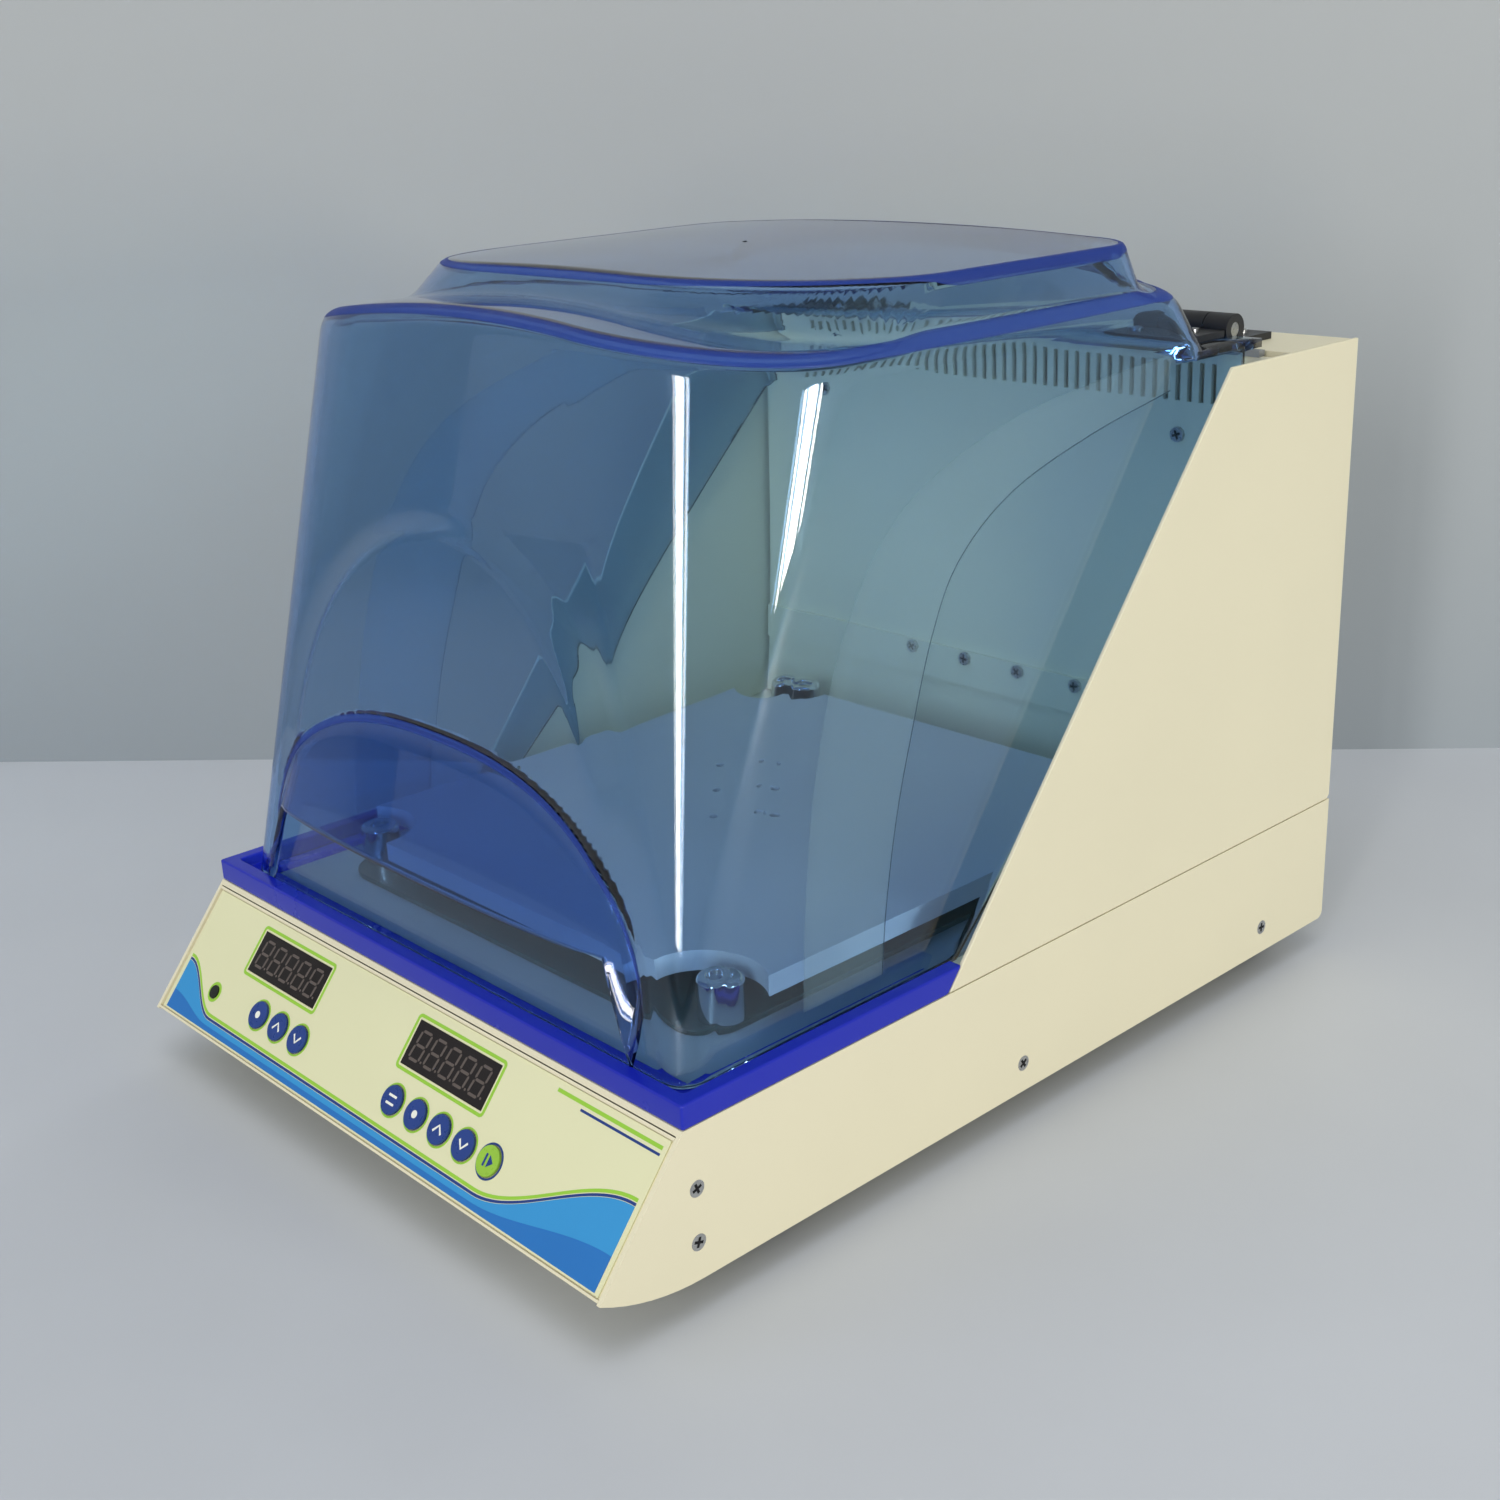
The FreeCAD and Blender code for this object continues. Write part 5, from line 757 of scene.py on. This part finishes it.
def rounded_loop(w, f, b, r, q):
    """Points round a rounded rectangle with corners r in front and q behind, and their normals.

    Each corner is a quarter circle, and each is joined to the next by a straight run."""
    a, t = np.linspace(0, np.pi / 2, 24), np.linspace(0, 1, 20)[1:-1, None]
    turns = [(w - r, f + r, r, -np.pi / 2), (w - q, b - q, q, 0.0), (q - w, b - q, q, np.pi / 2),
             (r - w, f + r, r, np.pi)]
    facings = [np.stack([np.cos(a + start), np.sin(a + start)], -1) for *_, start in turns]
    arcs = [[x, y] + radius * facing for (x, y, radius, _), facing in zip(turns, facings)]
    points, normals = [], []
    for number, (arc, facing) in enumerate(zip(arcs, facings)):
        here, there = arc[-1], arcs[(number + 1) % 4][0]
        points += [arc, here + (there - here) * t]
        normals += [facing, np.repeat(facing[-1:], len(t), axis=0)]
    return np.concatenate(points), np.concatenate(normals)


film_over("lid_shoulder_rim", rings[9:14])
rim_share = (DOME_Z - RIM_DEPTH - DOME_FOOT["z"]) / (DOME_TOP["z"] - DOME_FOOT["z"])
loop, outward = rounded_loop(**dome_sizes(rim_share))
rim = loop + outward * np.linspace(RIM_HALF, -RIM_HALF, 6)[:, None, None]
film_over("lid_dome_rim", np.concatenate([rim, lid_top(rim[..., 0], rim[..., 1])[..., None]], -1))
crease_x = np.linspace(-CREASE_END, CREASE_END, 110) + np.zeros((5, 1))
crease_v = crease_height(crease_x) + np.linspace(ABOVE_CREASE, -BELOW_CREASE, 5)[:, None]
crease_spots = on_front(crease_x, crease_v, face_rise(crease_x, crease_v) + CREASE_LIFT)
film_over("lid_crease_rim", crease_spots, closed=False)
print("rims:", len(loop), "points round the dome,", crease_x.shape[1], "along the crease")

# %% [markdown]
# ## Hazy bands on the lid's sides
# Two long arcs run down each side of the real lid, and the plastic between them is a little hazy.
# The band is a very thin plate on the side wall between two curves, and most of the light passes
# it straight. A hairline along the inner arc is the step in the moulding.

# %% Side bands
OUTER_ARC = np.array([(88, 243), (51, 240), (7, 234), (-33, 221), (-56, 203), (-73, 175), (-84, 140),
                      (-90, 105), (-93, 74)], float)
INNER_ARC = np.array([(88, 231), (45, 223), (7, 212), (-18, 196), (-31, 176), (-42, 147), (-50, 122),
                      (-56, 95), (-59, 74)], float)
PLATE, LINE_WIDTH = 0.05, 0.35


def even_curve(corners, count):
    """Points evenly spread along a smooth curve through the corners, by Catmull-Rom pieces."""
    ends = np.concatenate([[2 * corners[0] - corners[1]], corners, [2 * corners[-1] - corners[-2]]])
    u = np.linspace(0, len(corners) - 1 - 1e-9, count)
    k, t = u.astype(int), (u % 1)[:, None]
    p0, p1, p2, p3 = (ends[k + i] for i in range(4))
    return 0.5 * (2 * p1 + (p2 - p0) * t + (2 * p0 - 5 * p1 + 4 * p2 - p3) * t ** 2
                  + (3 * p1 - p0 - 3 * p2 + p3) * t ** 3)


def side_plate(name, side, first, second, material, lift):
    """A thin plate between two curves, a hair outside the side wall: y and z are blended across."""
    across = np.linspace(0, 1, 9)[None, :, None]
    flat = first[:, None, :] * (1 - across) + second[:, None, :] * across
    x = side * (level(flat[..., 1], HALF_WIDTH) + lift + PLATE)
    spot = np.stack([x, flat[..., 0], flat[..., 1]], -1)
    faces = grid_faces(*spot.shape[:2])
    made = piece(name, spot.reshape(-1, 3), faces, "lid", material)
    merge(made)
    faces_out = made.data.polygons[0].normal[0] * side > 0
    live(made, "SOLIDIFY", thickness=PLATE * MM, offset=-1.0 if faces_out else 1.0)


outer_arc, inner_arc = even_curve(OUTER_ARC, 90), even_curve(INNER_ARC, 90)
along = np.gradient(inner_arc, axis=0)
aside = np.stack([along[:, 1], -along[:, 0]], -1) / np.linalg.norm(along, axis=1)[:, None]
for label, side in (("right", 1), ("left", -1)):
    side_plate("lid_band_" + label, side, outer_arc, inner_arc, band_haze, 0.02)
    side_plate("lid_line_" + label, side, inner_arc, inner_arc + LINE_WIDTH * aside, band_line, 0.09)
print("a band and a line on each side,", len(outer_arc), "points long")

# %% [markdown]
# ## The gate mark
# Hot plastic enters the mould at one place, and a small dark pip stays there, near the middle of
# the dome. It is a low cone with a wide foot: a point at the top and two rings of points below it.

# %% Gate mark
GATE_Y, ROUND = 8.4, 24
angle = np.linspace(0, 2 * np.pi, ROUND, endpoint=False)
gate = [[[0, GATE_Y, DOME_Z + 0.25]]]
for radius, lift in ((0.5, 0.2), (0.9, 0.0)):
    gate.append(np.column_stack([radius * np.cos(angle), GATE_Y + radius * np.sin(angle),
                                 np.full(ROUND, DOME_Z + lift)]))
faces = [[0, 1 + i, 1 + (i + 1) % ROUND] for i in range(ROUND)] + grid_faces(2, ROUND, 1, closed=True)
piece("lid_gate_mark", np.concatenate(gate), faces, "lid", painted_recess_shade_and_dark_pip)
print("gate mark:", len(faces), "faces")

# %% [markdown]
# ## The printed keypad
# The front panel carries a printed film with soft colours: a pale field, a blue sweep along
# its foot and thin green and navy lines. The print here is a plain design of its own in such
# colours. Each printed shape is a thin flat piece a few hundredths of a millimetre proud of the
# film, placed in the panel's own directions: u across, v up the slope, w out of it.

# %% Panel directions
NOSE = np.array([0.0, -182.0, 21.7])
PANEL_TOP = np.array([0.0, -149.0, 62.0])
PANEL_UP = (PANEL_TOP - NOSE) / np.linalg.norm(PANEL_TOP - NOSE)
PANEL_OUT = np.array([0.0, -PANEL_UP[2], PANEL_UP[1]])
FILM, HAIR, INK = -0.5, 0.01, 0.03  # the film's face, the thin gap above it, and a layer of ink
FILM_HALF, FILM_FOOT = 125.5, 2.4
KEY_ROW, DISPLAY_ROW, LAMP_U, LAMP_V = 17.2, 36.0, -102.0, 15.7


def on_panel(u, v, w):
    """Frame coordinates of points on the panel."""
    u, v, w = np.broadcast_arrays(np.asarray(u, float), np.asarray(v, float), np.asarray(w, float))
    return NOSE + np.stack([u, 0 * u, 0 * u], -1) + v[..., None] * PANEL_UP + w[..., None] * PANEL_OUT


def on_face(outlines, low, high):
    """The low and the high ring of each closed outline of (u, v) points."""
    return [[on_panel(*np.transpose(outline), w) for w in (low, high)] for outline in outlines]


def printed(name, outlines, material, layer=1):
    """Flat shapes on the film, one or two layers of ink high, so that a later ink covers an earlier."""
    rings = on_face(outlines, FILM + HAIR, FILM + HAIR + INK * layer)
    flat_piece(name, rings, "housing", material)


def disc(u, v, radius, steps=48):
    """Points of a circle."""
    angle = np.linspace(0, 2 * np.pi, steps, endpoint=False)
    return np.stack([u + radius * np.cos(angle), v + radius * np.sin(angle)], -1)


def rounded(u, v, width, height, radius, steps=8):
    """Points of a rounded rectangle round its middle."""
    angle = np.linspace(0, np.pi / 2, steps)
    parts = []
    for turn, (sx, sy) in enumerate(((1, 1), (-1, 1), (-1, -1), (1, -1))):
        a = angle + turn * np.pi / 2
        parts.append(np.stack([u + sx * (width / 2 - radius) + radius * np.cos(a),
                               v + sy * (height / 2 - radius) + radius * np.sin(a)], -1))
    return np.concatenate(parts)


def stripe(ends, height, thickness, steps=60):
    """A stripe whose middle line is v = height(u), between two ends."""
    u = np.linspace(*ends, steps)
    line, half = np.stack([u, height(u)], -1), [0, thickness / 2]
    return np.concatenate([line - half, (line + half)[::-1]])


print("panel slope:", round(float(np.degrees(np.arctan2(PANEL_UP[2], PANEL_UP[1]))), 1), "degrees")

# %% Print inks
def ink(name, color):
    """Screen-printed ink: an even satin colour with a trace of grain."""
    return finish(name, color, (0.34, 0.44), vary=0.02, patch=40, grain=2400, depth=0.00001, strength=0.2)


ink_sky, ink_navy = ink("ink sky blue", srgb(48, 146, 206)), ink("ink navy", srgb(28, 58, 128))
ink_green, ink_white = ink("ink green", srgb(150, 202, 58)), ink("ink white", srgb(238, 238, 226))
ink_deep = ink("ink deep blue", srgb(30, 112, 186))
print("inks:", [mixed.name for mixed in (ink_sky, ink_navy, ink_green, ink_white, ink_deep)])

# %% The blue sweep and its lines
def sweep(u, low=6.0, left=15.0, right=22.0):
    """Upper edge of the blue field: low in the middle, rising in an even S to both ends."""
    return low + left * smooth_step((-u - 98) / 27) + right * smooth_step((u - 64) / 61)


def field_under(top):
    """A field from the foot of the film up to a curve."""
    u = np.linspace(-FILM_HALF, FILM_HALF, 120)
    return np.concatenate([np.stack([u, top(u)], -1), [[FILM_HALF, FILM_FOOT], [-FILM_HALF, FILM_FOOT]]])


ACROSS = (-FILM_HALF, FILM_HALF)
printed("print_sweep", [field_under(sweep)], ink_sky)
printed("print_sweep_deep", [field_under(lambda u: sweep(u, 4.2, 5.0, 9.0))], ink_deep, layer=2)
printed("print_lines_green", [stripe(ACROSS, lambda u: sweep(u) + 1.9, 1.1, 120),
                              stripe((78, FILM_HALF), lambda u: 45.6 + 0 * u, 1.2)], ink_green)
printed("print_lines_navy", [stripe(ACROSS, lambda u: sweep(u) + 0.6, 0.9, 120),
                             stripe((90, FILM_HALF), lambda u: 43.6 + 0 * u, 0.8)], ink_navy)
print("the sweep rises from", sweep(0.0), "to", sweep(FILM_HALF), "mm at the right")

# %% Frames of the displays and rings of the keys
DISPLAYS = {"temperature": -68.2, "speed": 29.8}
KEY_PITCH = 13.0
KEY_ROWS = {-71.4: ["temperature_set_key", "temperature_up_key", "temperature_down_key"],
            13.0: ["mode_key", "speed_set_key", "speed_up_key", "speed_down_key", "start_stop_key"]}
KEYS = {name: start + KEY_PITCH * i for start, row in KEY_ROWS.items() for i, name in enumerate(row)}
WINDOW, FRAME = (45.6, 16.6, 0.8), (47.8, 18.8, 1.8)  # width, height and corner radius
KEY_RING, LAMP_RING = (5.1, 5.75), (2.6, 3.7)  # inner and outer radius


def frame_ring(inner, outer):
    """A flat ring as two half outlines between an inner and an outer outline."""
    half = len(inner) // 2
    outer, inner = np.append(outer, outer[:1], 0), np.append(inner, inner[:1], 0)
    return [np.concatenate([outer[part], inner[part][::-1]])
            for part in (slice(0, half + 1), slice(half, None))]


green_rings, navy_rings = [], []
for u in DISPLAYS.values():
    green_rings += frame_ring(*[rounded(u, DISPLAY_ROW, *sizes) for sizes in (WINDOW, FRAME)])
for name, u in KEYS.items():
    ring = frame_ring(*[disc(u, KEY_ROW, radius) for radius in KEY_RING])
    (navy_rings if name == "start_stop_key" else green_rings).extend(ring)
green_rings += frame_ring(*[disc(LAMP_U, LAMP_V, radius) for radius in LAMP_RING])
printed("print_rings_green", green_rings, ink_green, layer=2)
printed("print_rings_navy", navy_rings, ink_navy, layer=2)
print("half rings:", len(green_rings), "green and", len(navy_rings), "navy")

# %% [markdown]
# ## Symbols on the keys and digits in the displays
# The keys carry plain signs: a dot, chevrons for up and down, two bars for the mode, and a bar with
# a triangle for start and stop. They ride with their keys, so they move when a key is pressed. The
# displays are off, so their seven-segment digits show only as lighter bars on the dark window.

# %% Key signs
KEY_TOP = 0.4  # the key's upper face stands this far out of the panel


def stroke(points, width):
    """A stroked line as one outline: each point moved to both sides by half the width."""
    p = np.array(points, float)
    d = np.gradient(p, axis=0)
    d /= np.linalg.norm(d, axis=1)[:, None]
    side = np.stack([-d[:, 1], d[:, 0]], -1) * width / 2
    return np.concatenate([p + side, (p - side)[::-1]])


def key_sign(name, outlines, material):
    """Thin signs on top of a key, riding with it."""
    rings = on_face([outline + [KEYS[name], KEY_ROW] for outline in outlines],
                    KEY_TOP + 0.005, KEY_TOP + 0.04)
    flat_piece(name + "_sign", rings, name + "_body", material)


chevron_up = stroke([(-2.1, -1.2), (0, 1.3), (2.1, -1.2)], 0.8)
for name in KEYS:
    if "up" in name:
        shapes = [chevron_up]
    elif "down" in name:
        shapes = [chevron_up * [1, -1]]
    elif name == "start_stop_key":
        shapes = [rounded(-1.2, 0, 0.9, 4.0, 0.2), np.array([(0.2, -2.0), (2.6, 0.0), (0.2, 2.0)])]
    elif name == "mode_key":
        shapes = [rounded(0, 1.3, 4.2, 0.8, 0.2), rounded(0, -1.3, 4.2, 0.8, 0.2)]
    else:
        shapes = [disc(0, 0, 1.3, 24)]
    key_sign(name, shapes, ink_navy if name == "start_stop_key" else ink_white)
print("signs on", len(KEYS), "keys")

# %% Unlit digits
digit_grey = finish("unlit segment", srgb(92, 82, 76), (0.3, 0.4), vary=0.05, patch=60, grain=900,
                    strength=0.1)
DIGIT_HEIGHT, DIGIT_WIDTH, BAR, LEAN = 9.6, 5.2, 0.95, 0.12
FIRST_DIGIT, DIGIT_PITCH, DOT_ASIDE, DOT_V = -16.4, 8.1, 3.5, 31.6
WINDOW_LOW, WINDOW_HIGH = -0.38, -0.36


def segments(u, v):
    """Seven slightly leaning bars of a digit round its middle, each a flat hexagon."""
    h, w, gap, point, side = DIGIT_HEIGHT / 2, DIGIT_WIDTH / 2, 0.25, 0.75, BAR / 2
    bars = [[(-w + gap, y), (-w + point, y + side), (w - point, y + side), (w - gap, y),
             (w - point, y - side), (-w + point, y - side)] for y in (-h, 0, h)]
    bars += [[(x, low + gap), (x + side, low + point), (x + side, high - point), (x, high - gap),
              (x - side, high - point), (x - side, low + point)]
             for x in (-w, w) for low, high in ((-h, 0), (0, h))]
    return [np.array([(u + x + LEAN * y, v + y) for x, y in bar]) for bar in bars]


for label, middle in DISPLAYS.items():
    outlines = []
    for digit in range(5):
        u = middle + FIRST_DIGIT + DIGIT_PITCH * digit
        outlines += segments(u, DISPLAY_ROW) + [disc(u + DOT_ASIDE, DOT_V, 0.45, 12)]
    flat_piece(f"{label}_digits", on_face(outlines, WINDOW_LOW, WINDOW_HIGH), "housing", digit_grey)
    print(label, "display:", len(outlines), "bars and dots")

# %% [markdown]
# ## Screws
# The casing screws have cross recesses. A recess is small, so the shade in each is painted: a dark
# four-armed star set a hair above the head of the screw. One quarter of its outline, turned four times,
# makes it.

# %% Cross recesses
TIP, ARM = 1.7, 0.45  # length and half width of an arm
quarter, quarter_turn = np.array([(TIP, ARM), (ARM, ARM), (ARM, TIP)]), np.array([(0, 1), (-1, 0)])
CROSS = np.concatenate([quarter @ np.linalg.matrix_power(quarter_turn, turns) for turns in range(4)])
FIRST_TURN, NEXT_TURN, RECESS_LIFT = 0.35, 0.9, 0.05


def crosses(name, centres, across, up):
    """Crosses at the given centres in the plane of two axes, each turned further than the last."""
    normal = np.cross(across, up)
    rings = []
    for number, centre in enumerate(centres):
        turn = FIRST_TURN + NEXT_TURN * number
        flat = CROSS @ np.array([[np.cos(turn), np.sin(turn)], [-np.sin(turn), np.cos(turn)]])
        ring = centre + flat[:, :1] * across + flat[:, 1:] * up
        rings.append((ring + normal * HAIR, ring + normal * RECESS_LIFT))
    # Each star is painted shade in place of the recess's hollow.
    flat_piece(name, rings, "housing", painted_recess_shade_and_dark_pip)


X, Y, Z = np.eye(3)
SIDE_X = 130.0
SIDE_SCREWS = [(-145, 42), (-145.5, 24.5), (-1.5, 22.5), (139, 22.5)]
crosses("recess_shade_right", [(SIDE_X, y, z) for y, z in SIDE_SCREWS], Y, Z)
crosses("recess_shade_left", [(-SIDE_X, y, z) for y, z in SIDE_SCREWS], -Y, Z)
WALL_SCREWS = [(86, 134.0, 206), (-86, 134.0, 206)] + [(x, 132.5, 102.1) for x in (-43, -14, 14, 43)]
crosses("recess_shade_wall", WALL_SCREWS, X, Z)
print("recesses in", 2 * len(SIDE_SCREWS) + len(WALL_SCREWS), "screws")

# %% [markdown]
# ## Stage, light and camera
# The instrument stands on a pale floor before a grey-blue wall. The wall is see-through from
# behind, so that the instrument can be looked at from that side too. Two tall lamps stand where the
# windows of the room were. The lid's rounded corner shows each of them as an upright streak, and
# that tells the eye that it is smooth and curved. Soft lamps above, at the left and behind, and the
# world, fill the shadows; the lid doesn't mirror them.

# %% Floor and wall
WALL_DIRECTION, BESIDE = np.array([-0.667, 0.745]), np.array([0.745, 0.667])
WALL_DISTANCE, STAGE_HALF = 0.2716, 3.2


def stage_sheet(name, along, up, material):
    """A flat sheet of the stage: rows at distances along the view and heights, out to both sides."""
    side = np.linspace(-STAGE_HALF, STAGE_HALF, 16)
    a, t = np.meshgrid(np.arange(len(along)), side, indexing="ij")
    flat = along[a][..., None] * WALL_DIRECTION + t[..., None] * BESIDE
    spot = np.concatenate([flat, up[a][..., None]], -1)
    mesh = bpy.data.meshes.new(name)
    mesh.from_pydata(spot.reshape(-1, 3).tolist(), [], grid_faces(*a.shape))
    mesh.materials.append(material)
    made = in_scene(name, mesh)
    return made


floor_pale = finish("pale floor", srgb(196, 199, 203), (0.75, 0.85), vary=0.03, patch=5, grain=700,
                    strength=0.04)
wall_paint = finish("grey-blue wall", srgb(168, 176, 184), (0.7, 0.8), vary=0.03, patch=2, grain=60,
                    strength=0.02)
# Height fades the wall's colour: painted shade makes it darker towards the floor. Its back is see-through.
tree = wall_paint.node_tree
height = tree.nodes.new("ShaderNodeSeparateXYZ")
tree.links.new(tree.nodes["Texture Coordinate"].outputs["Object"], height.inputs["Vector"])
painted_wall_shade = tree.nodes.new("ShaderNodeMix")
painted_wall_shade.data_type = "RGBA"
painted_wall_shade.inputs["A"].default_value, painted_wall_shade.inputs["B"].default_value = srgb(155, 162, 167), srgb(173, 176, 176)
tree.links.new(spread(tree, height.outputs["Z"], 0.0, 1.0, 0.0, 0.36), painted_wall_shade.inputs["Factor"])
tree.links.new(painted_wall_shade.outputs["Result"], tree.nodes["Principled BSDF"].inputs["Base Color"])
see_through = tree.nodes.new("ShaderNodeBsdfTransparent")
choose = tree.nodes.new("ShaderNodeMixShader")
tree.links.new(tree.nodes.new("ShaderNodeNewGeometry").outputs["Backfacing"], choose.inputs["Fac"])
tree.links.new(tree.nodes["Principled BSDF"].outputs["BSDF"], choose.inputs[1])
tree.links.new(see_through.outputs["BSDF"], choose.inputs[2])
tree.links.new(choose.outputs["Shader"], tree.nodes["Material Output"].inputs["Surface"])
stage_sheet("floor", np.linspace(WALL_DISTANCE, -2.6, 12), np.zeros(12), floor_pale)
wall = stage_sheet("wall", np.full(10, WALL_DISTANCE), np.linspace(0.0, 2.2, 10), wall_paint)
if np.array(wall.data.polygons[0].normal)[:2] @ WALL_DIRECTION > 0:
    wall.data.flip_normals()
wall.visible_shadow = False  # so that the soft lamp behind it lights the rear of the instrument
print("the wall stands", WALL_DISTANCE, "m behind the middle of the floor")

# %% Lamps and world
DAYLIGHT, SOFT_WHITE = (1.0, 0.98, 0.94), (0.97, 0.98, 1.0)


def stand(made, place, side, back):
    """Puts a lamp or camera at a place, with its own x axis along side and its own z axis along back."""
    turn = Matrix(np.column_stack([side, np.cross(back, side), back]).tolist()).to_4x4()
    made.matrix_world = Matrix.Translation(place) @ turn


def area_lamp(name, place, target, size, power, tint, height=None):
    """A soft lamp that looks at a point: square, or upright and narrow where a height is given."""
    lamp = bpy.data.lights.new(name, "AREA")
    lamp.size, lamp.energy, lamp.color = size, power, tint
    if height:
        lamp.shape, lamp.size_y = "RECTANGLE", height
    made = in_scene(name, lamp)
    back = np.array(place) - np.array(target)
    back /= np.linalg.norm(back)
    side = np.cross([0, 0, 1], back)
    stand(made, place, side / np.linalg.norm(side), back)
    return made


def window(name, place, target, height, panes):
    """Upright lamps side by side, the panes of one window: (distance aside, width, power) of each."""
    back = np.array(place) - np.array(target)
    turned = np.array([-back[1], back[0], 0.0]) / np.hypot(back[0], back[1])
    for number, (aside, width, power) in enumerate(panes):
        area_lamp(f"{name} pane {number}", tuple(np.array(place) + aside * turned), target, width, power,
                  DAYLIGHT, height=height)


window("front window", (0.84, -1.70, 0.55), (0.08, -0.09, 0.15), 0.95,
       [(-0.13, 0.035, 1.2), (-0.02, 0.15, 10.5), (0.12, 0.05, 2.2)])
window("side window", (1.95, 0.33, 0.29), (0.08, 0.0, 0.15), 0.34,
       [(-0.16, 0.05, 1.6), (0.0, 0.19, 9.5), (0.17, 0.06, 1.9)])
for name, place, target, size, power in (
        ("ceiling", (0.5, -0.5, 1.9), (0, 0, 0.1), 1.2, 12),
        ("left fill", (-1.0, -1.3, 1.0), (0, 0, 0.12), 0.9, 4),
        ("rear fill", (-0.35, 1.9, 0.9), (0, 0, 0.12), 1.2, 8)):
    soft = area_lamp(name, place, target, size, power, SOFT_WHITE)
    soft.visible_glossy = soft.visible_transmission = False
world = bpy.data.worlds.new("studio")
world.use_nodes = True
sky = world.node_tree.nodes["Background"].inputs
sky["Color"].default_value, sky["Strength"].default_value = (0.80, 0.86, 0.93, 1), 0.38
bpy.context.scene.world = world
print("lamps:", len(bpy.data.lights))

# %% Camera
camera = bpy.data.cameras.new("photo view")
camera.sensor_width = 36.0
camera.sensor_fit = "HORIZONTAL"
camera.lens = 45.87
viewer = in_scene("photo view", camera)
right = np.array([0.6811, 0.7308, -0.0433])
right /= np.linalg.norm(right)
forward = np.array([-0.6975, 0.6298, -0.3418])
forward -= right * (forward @ right)
forward /= np.linalg.norm(forward)
stand(viewer, (0.4878, -0.4404, 0.3411), right, -forward)
bpy.context.scene.camera = viewer
bpy.context.scene.view_settings.view_transform = "Standard"
bpy.context.scene.cycles.glossy_bounces = 8
print("camera of", round(camera.lens, 2), "mm at", [round(number, 3) for number in viewer.location])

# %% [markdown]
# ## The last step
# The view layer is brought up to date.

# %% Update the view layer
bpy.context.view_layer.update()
